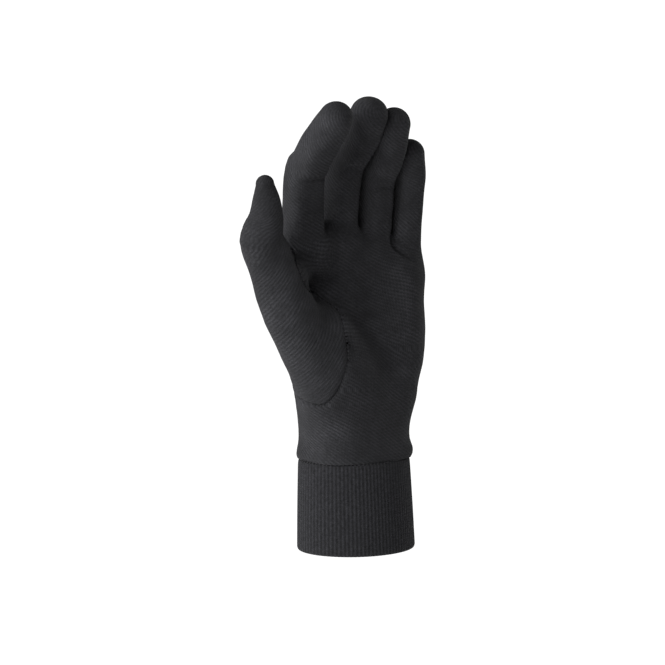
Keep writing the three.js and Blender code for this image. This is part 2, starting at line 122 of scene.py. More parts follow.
class Limb:
    """A filled tube of cloth: sections along a smooth line, each oval or rounded square."""

    reach = 24.0
    past_ends = 30.0

    def __init__(self, rows: list, across: tuple = (1, 0, 0), pieces: int = 5,
                 squareness: float = 2.0, tip: float = 0.0) -> None:
        """Makes the limb.

        Args:
            rows: Sections as x, y, z of the centre, then half the width and half the depth.
            across: The direction that the width lies along.
            pieces: How many straight pieces each span is cut into.
            squareness: 2 for an oval, more for a squarer section.
            tip: Length before the end in which the section turns oval, or 0 for none.
        """
        self.tip = tip
        self.rows = smooth_rows(np.array(rows, float), pieces)
        self.across = np.array(across, float) / np.linalg.norm(across)
        self.squareness = squareness
        steps = np.linalg.norm(np.diff(self.rows[:, :3], axis=0), axis=1)
        self.starts = np.concatenate([[0.0], np.cumsum(steps)])
        room = self.rows[:, 3:5].max() + self.reach
        self.low = self.rows[:, :3].min(0) - room
        self.high = self.rows[:, :3].max(0) + room

    def place(self, points: Array) -> tuple:
        """Finds where points lie about the limb.

        Args:
            points: Points, in mm.

        Returns:
            Offsets across and behind the line, half width, half depth and distance along it.
        """
        count = len(points)
        best = np.full(count, FAR)
        side, back, along = np.zeros(count), np.zeros(count), np.zeros(count)
        wide, deep = np.ones(count), np.ones(count)
        last = len(self.rows) - 2
        for i, from_start in enumerate(self.starts[:-1]):
            start, end = self.rows[i], self.rows[i + 1]
            axis = end[:3] - start[:3]
            length = np.linalg.norm(axis)
            behind = np.cross(axis / length, self.across)
            away = points - start[:3]
            reach = away @ axis / length ** 2
            t = np.clip(reach, 0, 1)
            offset = away - t[:, None] * axis
            square = (offset * offset).sum(1)
            near = square < best
            best = np.where(near, square, best)
            side = np.where(near, offset @ self.across, side)
            back = np.where(near, offset @ behind, back)
            wide = np.where(near, start[3] + (end[3] - start[3]) * t, wide)
            deep = np.where(near, start[4] + (end[4] - start[4]) * t, deep)
            run = np.clip(reach, -self.past_ends if i == 0 else 0.0,
                          self.past_ends if i == last else 1.0)
            along = np.where(near, from_start + run * length, along)
        rest = np.sqrt(np.maximum(best - side * side, 0))
        return side, back, rest, wide, deep, along

    def distance(self, points: Array) -> Array:
        """Measures how far points are from the limb.

        Args:
            points: Points, in mm.

        Returns:
            Distances, less than 0 inside the limb and at most its reach.
        """
        near = ((points > self.low) & (points < self.high)).all(1)
        result = np.full(len(points), self.reach)
        result[near] = self.near_distance(points[near])
        return result

    def near_distance(self, points: Array) -> Array:
        """Measures how far points near the limb are from its skin.

        Args:
            points: Points near the limb, in mm.

        Returns:
            Distances, true near the skin and less than 0 inside it.
        """
        side, _, rest, wide, deep, along = self.place(points)
        u, w, n = np.abs(side) / wide, rest / deep, self.squareness
        if self.tip:
            left = np.clip((self.starts[-1] - along) / self.tip, 0, 1)
            n = 2 + (self.squareness - 2) * left
        elif n == 2.0:
            near = np.sqrt(u * u + w * w) + TINY
            return near * (near - 1) / (np.sqrt((u / wide) ** 2 + (w / deep) ** 2) + TINY)
        near = (u ** n + w ** n + 1e-12) ** (1 / n)
        scale = near ** (1 - n)
        slope = np.hypot(u ** (n - 1) * scale / wide, w ** (n - 1) * scale / deep)
        return (near - 1) / np.maximum(slope, 1e-6)

    def turn(self, points: Array) -> Array:
        """Where points lie in the knit of this limb.

        Args:
            points: Points, in mm.

        Returns:
            Rows of cosine and sine of the share of the way round, and mm along the limb.
        """
        side, back, _, wide, deep, along = self.place(points)
        angle = np.arctan2(back / deep, side / wide)
        even = even_turn(angle, wide / deep)
        return np.stack([np.cos(even), np.sin(even), along], 1)


def even_turn(angle: Array, flatness: Array) -> Array:
    """Turns the angle of an oval into the share of its girth, as an angle.

    Args:
        angle: Angles from the end of the wide axis, on the oval drawn as a circle.
        flatness: Width of each oval over its depth.

    Returns:
        Angles that grow evenly with the length of the oval's outline.
    """
    pieces = 256
    turns = np.linspace(-np.pi, np.pi, pieces + 1)
    shapes = np.linspace(0.5, 4.0, 15)
    table = []
    for shape in shapes:
        pace = np.hypot(shape * np.sin(turns), np.cos(turns))
        grown = np.concatenate([[0], np.cumsum((pace[1:] + pace[:-1]) / 2)])
        table.append(grown / grown[-1] * 2 * np.pi - np.pi)
    rows = np.array(table)
    at = np.clip((flatness - shapes[0]) / (shapes[1] - shapes[0]), 0, len(shapes) - 1.001)
    low = at.astype(int)
    part = at - low
    step = (angle + np.pi) / (2 * np.pi) * pieces
    left = np.clip(step.astype(int), 0, pieces - 1)
    share = step - left
    first = rows[low, left] * (1 - share) + rows[low, left + 1] * share
    second = rows[low + 1, left] * (1 - share) + rows[low + 1, left + 1] * share
    return first * (1 - part) + second * part


@dataclass
class ThumbSeam:
    """The sewn outline of the set-in thumb, seen square to the thumb's face."""

    face_turn: float = 35.0
    face_depth: float = 8.0
    back_slope: float = 0.35
    back_height: float = 92.0
    widest: float = 40.0
    stitched: tuple = (2, 10)  # the part of the line whose stitches show
    line: tuple = (
        (-39.2, 86.0), (-30.9, 82.8), (-23.8, 80.1), (-18.6, 79.4), (-14.7, 81.2),
        (-10.9, 85.4), (-8, 90.5), (-5.3, 99.0), (-4.3, 107.3), (-6.2, 119.0), (-9.8, 127.8),
        (-20.0, 135.3), (-26.4, 143.5), (-30.3, 153.2), (-33.2, 162.5),
    )

    def __post_init__(self) -> None:
        """Works out the finer outline and the plane of its back run."""
        self.outline = smooth_rows(np.array(self.line), 4)
        turn = math.radians(self.face_turn)
        self.view = np.array([math.cos(turn), -math.sin(turn), 0.0])
        self.face = np.array([-math.sin(turn), -math.cos(turn), 0.0])
        self.back_normal = self.face - np.array([0, 0, self.back_slope])
        self.back_normal /= np.linalg.norm(self.back_normal)
        foot = self.face * self.face_depth + np.array([0, 0, self.back_height])
        self.back_level = float(foot @ self.back_normal)

    def side(self, points: Array) -> Array:
        """Measures how far points are past the seam.

        Args:
            points: Points, in mm.

        Returns:
            Distances, more than 0 on the thumb's side of the seam.
        """
        flat = np.stack([points @ self.view, points[:, 2]], 1)
        nearest = np.full(len(points), FAR)
        sign = np.ones(len(points))
        for a, b in zip(self.outline, self.outline[1:]):
            along = b - a
            away = flat - a
            t = np.clip(away @ along / (along @ along), 0, 1)
            offset = away - t[:, None] * along
            square = (offset * offset).sum(1)
            turned = along[0] * away[:, 1] - along[1] * away[:, 0]
            near = square < nearest
            nearest = np.where(near, square, nearest)
            sign = np.where(near, np.sign(turned), sign)
        outline = np.sqrt(nearest) * sign
        below = flat[:, 0] < self.outline[0, 0]
        over = flat[:, 1] - self.outline[0, 1]
        outline = np.where(below, np.minimum(over, self.widest), outline)
        return np.minimum(outline, points @ self.back_normal - self.back_level)


class WornForm:
    """The filled form of the hand of the glove, as distances to its outer skin."""

    palm_blend, heel_blend, ball_blend, web_blend, thumb_blend = 10.0, 20.0, 18.0, 8.0, 9.0
    finger_blend = 5.0
    slot = 0.15

    def __init__(self) -> None:
        """Lays out the limbs.

        The sections are given in mm: x, y and z of the centre, then half the width and
        half the depth.
        """
        self.trunk = Limb([
            (-1.5, 0, 41, 29.7, 24), (-1.5, 0, 50, 29.7, 24.2), (-1.5, 0, 57, 29.1, 23.2),
            (-1.9, 0, 69, 29.3, 21.8), (-2.2, 0.5, 85, 31.4, 18.8),
            (0, 1.5, 105, 36.9, 15.6), (-1.2, 2.5, 129, 37.5, 13), (-2.2, 3, 146, 33.6, 12),
        ], pieces=3, squareness=2.6)
        self.knuckles = Limb([
            (-32.5, 0.5, 157, 13, 11.3), (-11.5, 2.5, 157.5, 13, 11.3),
            (9.5, 2.5, 152.5, 13, 11), (26, 1, 145, 11.4, 10),
        ], across=(0, 0, 1))
        self.ball = Limb([
            (-9.5, -6, 71, 12, 12), (-13.5, -10, 87, 14.5, 13), (-30.5, -13, 113, 16, 13.5),
        ], across=(0.8, -0.5, 0.3))
        self.heel = Limb([
            (18.5, -4, 85, 9, 10), (21.8, -4, 105, 10.3, 11), (23.1, -3, 123, 10, 10.5),
            (23.7, -2, 139, 8.6, 10),
        ])
        self.web = Limb([(-55.5, -13, 144, 8, 8), (-37.5, -5, 153, 8, 9)], across=(0, 0.3, 1))
        self.thumb = Limb([
            (-18.5, -4, 71, 12, 12.5), (-27, -8, 92.6, 16.5, 14),
            (-52.1, -15, 128.6, 14.8, 14), (-64.3, -18, 152, 11.9, 12),
            (-71.9, -20, 166.4, 10.9, 11.2), (-71, -22, 178, 9.5, 8.8),
            (-72.1, -24, 187, 8.4, 7.0), (-73.3, -25, 195, 5.4, 4.6),
        ], across=(-0.5693, -0.8131, 0.1219))
        self.fingers = {
            Digit.INDEX: Limb([
                (-33.6, 0.2, 151, 9.4, 10.7), (-37.1, -6.1, 194.6, 9.2, 9.9),
                (-37.7, -12.6, 203.4, 8.7, 9.2), (-38.8, -22.1, 213, 8.8, 8.9),
                (-38.7, -29.6, 220.4, 8.9, 9), (-38.3, -36.1, 227, 8.7, 8.6),
            ], squareness=2.9, tip=18),
            Digit.MIDDLE: Limb([
                (-9.6, 4.4, 154, 8, 10.8), (-7.3, 2.4, 197.6, 7.5, 11.4),
                (-7.3, -10.1, 212.9, 8.2, 10.8), (-9.3, -24.2, 227.2, 9.7, 9.7),
            ], squareness=3.2, tip=14),
            Digit.RING: Limb([
                (11.6, 3.8, 150, 8, 10.4), (11.3, -2, 189.5, 7.3, 9.6),
                (9.2, -13.6, 206.7, 7.9, 9), (6.1, -24.1, 222, 8.7, 8.8),
            ], squareness=3.2, tip=14),
            Digit.LITTLE: Limb([
                (28.4, 1, 141, 8.5, 9.8), (29.6, -3, 177.9, 7.6, 8.6),
                (28.5, -7, 192.8, 7.5, 8.1), (24.4, -13, 205.6, 7.9, 7.9),
            ], squareness=3.0, tip=14),
        }

    def base(self, points: Array) -> Array:
        """Measures how far points are from the palm, the back and the thumb.

        Args:
            points: Points, in mm.

        Returns:
            Distances to all of these together, without the fingers.
        """
        d = soft_min(self.trunk.distance(points), self.knuckles.distance(points),
                     self.palm_blend)
        d = soft_min(d, self.heel.distance(points), self.heel_blend)
        d = soft_min(d, self.ball.distance(points), self.ball_blend)
        d = soft_min(d, self.web.distance(points), self.web_blend)
        return soft_min(d, self.thumb.distance(points), self.thumb_blend)

    def tubes(self, points: Array) -> Array:
        """Distances to each finger tube, one column for each."""
        return np.stack([limb.distance(points) for limb in self.fingers.values()], 1)

    def parted(self, points: Array, half_gap: float) -> Array:
        """Distances with the fingers parted, so that each keeps a skin of its own.

        Args:
            points: Points, in mm.
            half_gap: How far each finger stays from the middle between two of them.

        Returns:
            Distances to the parted form.
        """
        base, tubes = self.base(points), self.tubes(points)
        joined = np.min([soft_min(base, tube, self.finger_blend) for tube in tubes.T], 0)
        nearest = np.sort(tubes, 1)
        middle = half_gap - (nearest[:, 1] - nearest[:, 0]) / 2
        return np.minimum(base, np.maximum(joined, middle))

    def whole(self, points: Array) -> Array:
        """Distances to the form with its fingers just apart."""
        return self.parted(points, 0.0)

    def skin(self, points: Array, owner: Array) -> Array:
        """Distances to the skin, each point measured against its own finger.

        Args:
            points: Points, in mm.
            owner: For each point, the number of the finger that it belongs to.

        Returns:
            Distances to the outer skin.
        """
        base, tubes = self.base(points), self.tubes(points)
        own = np.take_along_axis(tubes, owner[:, None], 1)[:, 0]
        others = tubes.copy()
        np.put_along_axis(others, owner[:, None], FAR, 1)
        middle = (own - others.min(1)) / 2 + self.slot
        return np.minimum(base, np.maximum(soft_min(base, own, self.finger_blend), middle))


# ---------------------------------------------------------------- from the form to a skin


class SkinNet:
    """A net of square faces laid over a form, then settled onto its skin."""

    rough_cells = 4  # cells along each side of the blocks that are read first

    def __init__(self, points: Array, quads: Array) -> None:
        """Keeps the net.

        Args:
            points: The corners, in mm.
            quads: Rows of four corner numbers, facing out.
        """
        self.points = points
        self.quads = quads

    @classmethod
    def over(cls, form: Field, low: tuple, high: tuple, step: float) -> "SkinNet":
        """Lays a net over a form.

        Args:
            form: Distances to the form, less than 0 inside it.
            low: The lowest corner of the room to look in, in mm.
            high: The highest corner.
            step: The size of a cell, in mm.

        Returns:
            The net, near the form's skin.
        """
        low_corner = np.array(low, float)
        counts = np.ceil((np.array(high) - low_corner) / step).astype(int) + 1
        counts += (-(counts - 1)) % cls.rough_cells
        values = cls.values(form, low_corner, counts, step)
        inside = values < 0
        cells = tuple(counts - 1)
        total = np.zeros(cells + (3,))
        hits = np.zeros(cells)
        for axis in range(3):
            a = inside.take(range(counts[axis] - 1), axis)
            b = inside.take(range(1, counts[axis]), axis)
            va = values.take(range(counts[axis] - 1), axis)
            vb = values.take(range(1, counts[axis]), axis)
            where = np.argwhere(a != b)
            part = va[a != b] / (va[a != b] - vb[a != b])
            place = where.astype(float)
            place[:, axis] += part
            for one in (0, 1):
                for two in (0, 1):
                    cell = where.copy()
                    cell[:, (axis + 1) % 3] -= one
                    cell[:, (axis + 2) % 3] -= two
                    np.add.at(total, tuple(cell.T), place)
                    np.add.at(hits, tuple(cell.T), 1)
        active = np.argwhere(hits > 0)
        number = np.full(cells, -1)
        number[tuple(active.T)] = np.arange(len(active))
        points = total[tuple(active.T)] / hits[tuple(active.T)][:, None] * step + low_corner
        quads = []
        for axis in range(3):
            a = inside.take(range(counts[axis] - 1), axis)
            b = inside.take(range(1, counts[axis]), axis)
            where = np.argwhere(a != b)
            ring = []
            for one, two in ((1, 1), (0, 1), (0, 0), (1, 0)):
                cell = where.copy()
                cell[:, (axis + 1) % 3] -= one
                cell[:, (axis + 2) % 3] -= two
                ring.append(number[tuple(cell.T)])
            faces = np.stack(ring, 1)
            outward = a[a != b]
            faces[~outward] = faces[~outward][:, ::-1]
            quads.append(faces)
        return cls(points, np.concatenate(quads))

    @classmethod
    def values(cls, form: Field, low: Array, counts: Array, step: float) -> Array:
        """Reads the form at the corners of the cells, closely only near the skin.

        Args:
            form: Distances to the form.
            low: The lowest corner, in mm.
            counts: How many corners there are along each axis.
            step: The size of a cell, in mm.

        Returns:
            The distances, as a block.
        """
        cells = cls.rough_cells
        rough = tuple((counts - 1) // cells + 1)
        places = np.stack(np.meshgrid(*[np.arange(n) for n in rough], indexing="ij"), -1)
        coarse = in_parts(form, places.reshape(-1, 3) * cells * step + low).reshape(rough)
        nearest = np.stack(np.meshgrid(*[(np.arange(n) + cells // 2) // cells for n in counts],
                                       indexing="ij"), -1)
        values = coarse[tuple(nearest.reshape(-1, 3).T)].reshape(tuple(counts))
        near = np.argwhere(np.abs(values) < 4.5 * step + 2.0)
        values[tuple(near.T)] = in_parts(form, near * step + low)
        return values

    def sides(self) -> Array:
        """Every side of every face, as rows of two corner numbers."""
        return np.concatenate([self.quads[:, [i, (i + 1) % 4]] for i in range(4)])

    def edges(self) -> Array:
        """Each edge of the net once, as rows of two corner numbers."""
        return np.unique(np.sort(self.sides(), 1), axis=0)

    def rim(self) -> Array:
        """Finds the edges that have one face.

        Returns:
            Rows of two corner numbers, in the order that the face has them.
        """
        pairs = self.sides()
        key = np.sort(pairs, 1) @ np.array([len(self.points), 1])
        _, first, count = np.unique(key, return_index=True, return_counts=True)
        return pairs[first[count == 1]]

    def keep(self, faces: Array) -> "SkinNet":
        """Leaves faces out.

        Args:
            faces: A mask, true for the faces that stay.

        Returns:
            The net of those faces, without loose corners.
        """
        quads = self.quads[faces]
        used = np.unique(quads)
        number = np.full(len(self.points), -1)
        number[used] = np.arange(len(used))
        return SkinNet(self.points[used], number[quads])

    def normals(self) -> Array:
        """Works out which way the cloth faces.

        Returns:
            Unit normals at the corners.
        """
        p = self.points[self.quads]
        face = np.cross(p[:, 2] - p[:, 0], p[:, 3] - p[:, 1])
        total = np.zeros_like(self.points)
        for i in range(4):
            for axis in range(3):
                total[:, axis] += np.bincount(self.quads[:, i], face[:, axis],
                                              len(self.points))
        return unit(total)

    def spread(self, values: Array, rounds: int, share: float = 0.5) -> Array:
        """Evens out numbers over the net.

        Args:
            values: One row for each corner.
            rounds: How often each row moves towards the mean of its neighbours.
            share: How far it moves each time.

        Returns:
            The evened rows.
        """
        edges = self.edges()
        both = np.concatenate([edges, edges[:, ::-1]])
        count = np.bincount(both[:, 0], minlength=len(self.points))
        rows = np.array(values, float).reshape(len(self.points), -1)
        for _ in range(rounds):
            mean = np.stack([np.bincount(both[:, 0], rows[both[:, 1], k], len(rows))
                             for k in range(rows.shape[1])], 1)
            rows = rows + share * (mean / np.maximum(count, 1)[:, None] - rows)
        return rows.reshape(np.shape(values))


def in_parts(form: Field, points: Array, size: int = 60000) -> Array:
    """Reads a form a part at a time, which is kinder to memory.

    Args:
        form: Distances to the form.
        points: Points, in mm.
        size: How many points are read at once.

    Returns:
        The distances at all the points.
    """
    if len(points) == 0:
        return np.zeros(0)
    return np.concatenate([form(points[i:i + size]) for i in range(0, len(points), size)])


def slope(form: Field, points: Array, values: Array, reach: float = 0.05) -> Array:
    """Measures how steeply a form rises along each axis.

    Args:
        form: Distances to the form.
        points: Points, in mm.
        values: The form's values there.
        reach: How far off each axis is tried, in mm.

    Returns:
        One row of three slopes for each point.
    """
    return np.stack([(form(points + reach * np.eye(3)[k]) - values) / reach
                     for k in range(3)], 1)


def settle(points: Array, form: Field, rounds: int = 3) -> Array:
    """Moves points onto the skin of a form.

    Args:
        points: Points near the skin, in mm.
        form: Distances to the form.
        rounds: How often each point is moved.

    Returns:
        The moved points.
    """
    for _ in range(rounds):
        values = form(points)
        steep = slope(form, points, values)
        square = np.maximum((steep * steep).sum(1), FLATTEST)
        move = np.clip(values / square, -LONGEST_STEP, LONGEST_STEP)
        points = points - steep * move[:, None]
    return points


def settle_edge(points: Array, form: Field, cut: Field, rounds: int = 5) -> Array:
    """Moves points onto the line where the skin of a form meets a cut.

    Args:
        points: Points near the line, in mm.
        form: Distances to the form.
        cut: Distances past the cut.
        rounds: How often each point is moved.

    Returns:
        The moved points.
    """
    # These keep the sums steady where the skin and the cut are almost parallel.
    little, least = 1e-3, 0.02
    for _ in range(rounds):
        v1, v2 = form(points), cut(points)
        g1, g2 = slope(form, points, v1), slope(cut, points, v2)
        a, b, c = (g1 * g1).sum(1) + little, (g1 * g2).sum(1), (g2 * g2).sum(1) + little
        det = np.maximum(a * c - b * b, least)
        s1 = np.clip((v1 * c - v2 * b) / det, -LONGEST_STEP, LONGEST_STEP)
        s2 = np.clip((v2 * a - v1 * b) / det, -LONGEST_STEP, LONGEST_STEP)
        points = points - g1 * s1[:, None] - g2 * s2[:, None]
    return points


# ---------------------------------------------------------------- folds of the cloth


@dataclass(frozen=True)
class Fold:
    """A crease, or with a depth below 0 a swelling, along a line on the skin, in mm."""

    path: tuple
    depth: float
    width: float
    lips: float = 0.25
    fade: bool = True
    # Where the raised lips lie beside the crease and how wide they are, in widths of it.
    lip_place: float = 2.1
    lip_width: float = 0.9
    # How bluntly the crease fades out at its ends.
    end_power: float = 0.6

    def laid(self, form: Field) -> "Fold":
        """The same fold with its line laid onto the skin of a form."""
        return replace(self, path=settle(np.array(self.path, float), form, 6))

    def sink(self, points: Array) -> Array:
        """Works out how far the skin sinks into the fold.

        Args:
            points: Points on the skin, in mm.

        Returns:
            Depths in mm, less than 0 where the skin stands out.
        """
        line = smooth_rows(np.array(self.path, float), 4)
        steps = np.linalg.norm(np.diff(line, axis=0), axis=1)
        starts = np.concatenate([[0], np.cumsum(steps)])
        nearest, along = np.full(len(points), FAR), np.zeros(len(points))
        for a, b, start, length in zip(line, line[1:], starts, steps):
            t = np.clip((points - a) @ (b - a) / length ** 2, 0, 1)
            square = ((points - a - t[:, None] * (b - a)) ** 2).sum(1)
            near = square < nearest
            nearest = np.where(near, square, nearest)
            along = np.where(near, start + t * length, along)
        d = np.sqrt(nearest) / self.width
        share = along / starts[-1]
        inside = np.clip(share, 0.04, 0.96)
        strength = np.sin(np.pi * inside) ** self.end_power if self.fade else 1.0
        lip = np.exp(-((d - self.lip_place) / self.lip_width) ** 2) * self.lips
        return self.depth * strength * (np.exp(-d * d) - lip)


# ---------------------------------------------------------------- materials


def linear(shade: str) -> tuple:
    """Turns an sRGB hex colour into linear red, green, blue and 1.

    Args:
        shade: The colour, such as "#2c2c2e".

    Returns:
        Four numbers for a Blender colour socket.
    """
    parts = [int(shade[i:i + 2], 16) / 255 for i in (1, 3, 5)]
    return tuple(c / 12.92 if c <= 0.04045 else ((c + 0.055) / 1.055) ** 2.4
                 for c in parts) + (1.0,)


def add(tree: bpy.types.NodeTree, kind: str, settings: dict[str, Any] | None = None,
        inputs: dict[Any, Any] | None = None) -> bpy.types.Node:
    """Adds a node with its settings and links.

    Args:
        tree: The node tree.
        kind: The node's type.
        settings: Properties of the node by name.
        inputs: Values or output sockets by the name or number of the input that takes them.

    Returns:
        The new node.
    """
    node = tree.nodes.new(kind)
    for name, value in (settings or {}).items():
        setattr(node, name, value)
    for name, value in (inputs or {}).items():
        if isinstance(value, bpy.types.NodeSocket):
            tree.links.new(value, node.inputs[name])
        else:
            node.inputs[name].default_value = value
    return node


def new_material(name: str) -> tuple[bpy.types.Material, bpy.types.NodeTree]:
    """Starts a material.

    Args:
        name: Its name.

    Returns:
        The material and its empty node tree.
    """
    material = bpy.data.materials.new(name)
    material.use_nodes = True
    material.node_tree.nodes.clear()
    return material, material.node_tree


@dataclass(frozen=True)
class MattYarn:
    """The yarn that the knit and the rib share: dull cotton and nylon with a faint bloom of hairs.

    To the eye it is almost black, without gloss, and a little lighter where it turns away.
    """

    roughness: float = 0.95
    specular: float = 0.06
    sheen: float = 0.02
    sheen_roughness: float = 0.6
    sheen_shade: str = "#b9b9bd"

    def cover(self, tree: bpy.types.NodeTree, colour: bpy.types.NodeSocket,
              relief: bpy.types.NodeSocket, height: float, strength: float) -> None:
        """Ends a material's nodes in this yarn.

        Args:
            tree: The material's nodes.
            colour: The colour at each place.
            relief: The height at each place, as a share.
            height: The height in mm that a share of 1 stands for.
            strength: How strongly the relief shows.
        """
        bump = add(tree, "ShaderNodeBump", None, {
            "Strength": strength, "Distance": height * MM, "Height": relief})
        cloth = add(tree, "ShaderNodeBsdfPrincipled", None, {
            "Base Color": colour, "Roughness": self.roughness,
            "Specular IOR Level": self.specular, "Sheen Weight": self.sheen,
            "Sheen Roughness": self.sheen_roughness,
            "Sheen Tint": linear(self.sheen_shade), "Normal": bump.outputs[0]})
        add(tree, "ShaderNodeOutputMaterial", None, {0: cloth.outputs[0]})


@dataclass(frozen=True)
class KnitCount:
    """How many columns of loops, and how many slanting lines, go round a tube of knit."""

    wales: int
    lines: int


@dataclass(frozen=True)
class FineJersey:
    """Fine plain knit of the matt yarn, machine knitted in the round.

    The loops make small V's in columns. One leg of each stands out, which the eye reads as fine
    slanting lines. Real loops here are about 0.9 mm wide. They are drawn about 1.6 mm wide and
    1.5 mm high, or they would not show.
    """

    name: str = "fine_knit"
    loop_shade: str = "#1e1e20"
    # gap_painted_shade: the gaps between the loops are painted darker, painted shade in the knit's
    # hollows on top of the bump
    gap_painted_shade: str = "#0c0c0d"
    palm: KnitCount = KnitCount(112, 60)
    tube: KnitCount = KnitCount(38, 20)
    course: float = 1.5
    line_pitch: float = 2.0
    slant: float = 0.9
    lean: Lean = Lean.LEFT
    loop_height: float = 0.3
    relief: float = 0.9
    # How much the loops show, and the least and the most that the slanting lines show.
    loop_share: float = 0.5
    ground: float = 0.12
    line_shares: tuple = (0.25, 0.6)
    hair_height: float = 0.35
    # The darkest and the lightest tint of the yarn, as shares of its colour.
    tints: tuple = (0.7, 1.3)
    # Noise scales, a metre: patches of clearer lines, hairs of the yarn, clouds of shade.
    patch_scale: float = 110.0
    fuzz_scale: float = 700.0
    cloud_scale: float = 60.0
    yarn: MattYarn = MattYarn()

    def wave(self, tree: bpy.types.NodeTree, turns: bpy.types.NodeSocket) -> bpy.types.NodeSocket:
        """A smooth wave from 0 to 1, once for each whole turn.

        Args:
            tree: The material's nodes.
            turns: How many turns there are up to a place.

        Returns:
            The wave's height there.
        """
        angle = add(tree, "ShaderNodeMath", {"operation": "MULTIPLY"},
                    {0: turns, 1: TURN})
        swing = add(tree, "ShaderNodeMath", {"operation": "COSINE"}, {0: angle.outputs[0]})
        return add(tree, "ShaderNodeMath", {"operation": "MULTIPLY_ADD"},
                   {0: swing.outputs[0], 1: 0.5, 2: 0.5}).outputs[0]

    def loops(self, tree: bpy.types.NodeTree, turn: bpy.types.NodeSocket,
              count: KnitCount) -> bpy.types.NodeSocket:
        """Height of the knitted loops from the place in the knit.

        Args:
            tree: The material's nodes.
            turn: Cosine and sine of the way round, and mm along, as a vector.
            count: How many columns and lines go round.

        Returns:
            A socket that is 0 between the loops and about 1 on them.
        """
        place = add(tree, "ShaderNodeSeparateXYZ", None, {0: turn})
        angle = add(tree, "ShaderNodeMath", {"operation": "ARCTAN2"},
                    {0: place.outputs[1], 1: place.outputs[0]})
        wale = add(tree, "ShaderNodeMath", {"operation": "MULTIPLY"},
                   {0: angle.outputs[0], 1: count.wales / TURN})
        share = add(tree, "ShaderNodeMath", {"operation": "FRACT"}, {0: wale.outputs[0]})
        side = add(tree, "ShaderNodeMath", {"operation": "MULTIPLY_ADD"},
                   {0: share.outputs[0], 1: 2.0, 2: -1.0})
        away = add(tree, "ShaderNodeMath", {"operation": "ABSOLUTE"}, {0: side.outputs[0]})
        leg = self.wave(tree, add(tree, "ShaderNodeMath", {"operation": "ADD"},
                                  {0: away.outputs[0], 1: 0.5}).outputs[0])
        row = add(tree, "ShaderNodeMath", {"operation": "MULTIPLY"},
                  {0: place.outputs[2], 1: 1 / self.course})
        phase = add(tree, "ShaderNodeMath", {"operation": "MULTIPLY_ADD"},
                    {0: away.outputs[0], 1: self.slant, 2: row.outputs[0]})
        loop = add(tree, "ShaderNodeMath", {"operation": "MULTIPLY"},
                   {0: leg, 1: self.wave(tree, phase.outputs[0])})
        rise = add(tree, "ShaderNodeMath", {"operation": "MULTIPLY"},
                   {0: place.outputs[2], 1: 1 / self.line_pitch})
        line = add(tree, "ShaderNodeMath", {"operation": "MULTIPLY_ADD"},
                   {0: angle.outputs[0], 1: -self.lean.value * count.lines / TURN,
                    2: rise.outputs[0]})
        body = add(tree, "ShaderNodeTexCoord")
        patch = add(tree, "ShaderNodeTexNoise", None,
                    {"Vector": body.outputs["Object"], "Scale": self.patch_scale,
                     "Detail": 1.0})
        clear = add(tree, "ShaderNodeMapRange", None,
                    {0: patch.outputs["Fac"], 1: 0.35, 2: 0.65,
                     3: self.line_shares[0], 4: self.line_shares[1]})
        faint = add(tree, "ShaderNodeMath", {"operation": "MULTIPLY_ADD"},
                    {0: loop.outputs[0], 1: self.loop_share, 2: self.ground})
        return add(tree, "ShaderNodeMath", {"operation": "MULTIPLY_ADD"},
                   {0: self.wave(tree, line.outputs[0]), 1: clear.outputs[0],
                    2: faint.outputs[0]}).outputs[0]

    def make(self) -> bpy.types.Material:
        """Makes the material.

        Returns:
            The material, which reads places in the knit from the piece's own corners.
        """
        material, tree = new_material(self.name)
        palm = add(tree, "ShaderNodeAttribute", {"attribute_name": "palm_knit"})
        tube = add(tree, "ShaderNodeAttribute", {"attribute_name": "tube_knit"})
        share = add(tree, "ShaderNodeAttribute", {"attribute_name": "tube_share"})
        height = add(tree, "ShaderNodeMix", {"data_type": "FLOAT"}, {
            0: share.outputs["Fac"],
            2: self.loops(tree, palm.outputs["Vector"], self.palm),
            3: self.loops(tree, tube.outputs["Vector"], self.tube),
        })
        place = add(tree, "ShaderNodeTexCoord")
        fuzz = add(tree, "ShaderNodeTexNoise", None,
                   {"Vector": place.outputs["Object"], "Scale": self.fuzz_scale,
                    "Detail": 3.0})
        cloud = add(tree, "ShaderNodeTexNoise", None,
                    {"Vector": place.outputs["Object"], "Scale": self.cloud_scale,
                     "Detail": 2.0})
        # Painted shade: the colour goes from the loop colour on the loops down to the darker gap
        # colour between them
        shade = add(tree, "ShaderNodeMix", {"data_type": "RGBA"}, {
            0: height.outputs[0], 6: linear(self.gap_painted_shade), 7: linear(self.loop_shade)})
        mottle = add(tree, "ShaderNodeMath", {"operation": "MULTIPLY"},
                     {0: fuzz.outputs["Fac"], 1: cloud.outputs["Fac"]})
        tint = add(tree, "ShaderNodeMapRange", None,
                   {0: mottle.outputs[0], 1: 0.12, 2: 0.4, 3: self.tints[0],
                    4: self.tints[1]})
        colour = add(tree, "ShaderNodeVectorMath", {"operation": "SCALE"},
                     {0: shade.outputs[2], "Scale": tint.outputs[0]})
        relief = add(tree, "ShaderNodeMath", {"operation": "MULTIPLY_ADD"},
                     {0: fuzz.outputs["Fac"], 1: self.hair_height, 2: height.outputs[0]})
        self.yarn.cover(tree, colour.outputs[0], relief.outputs[0], self.loop_height,
                        self.relief)
        return material


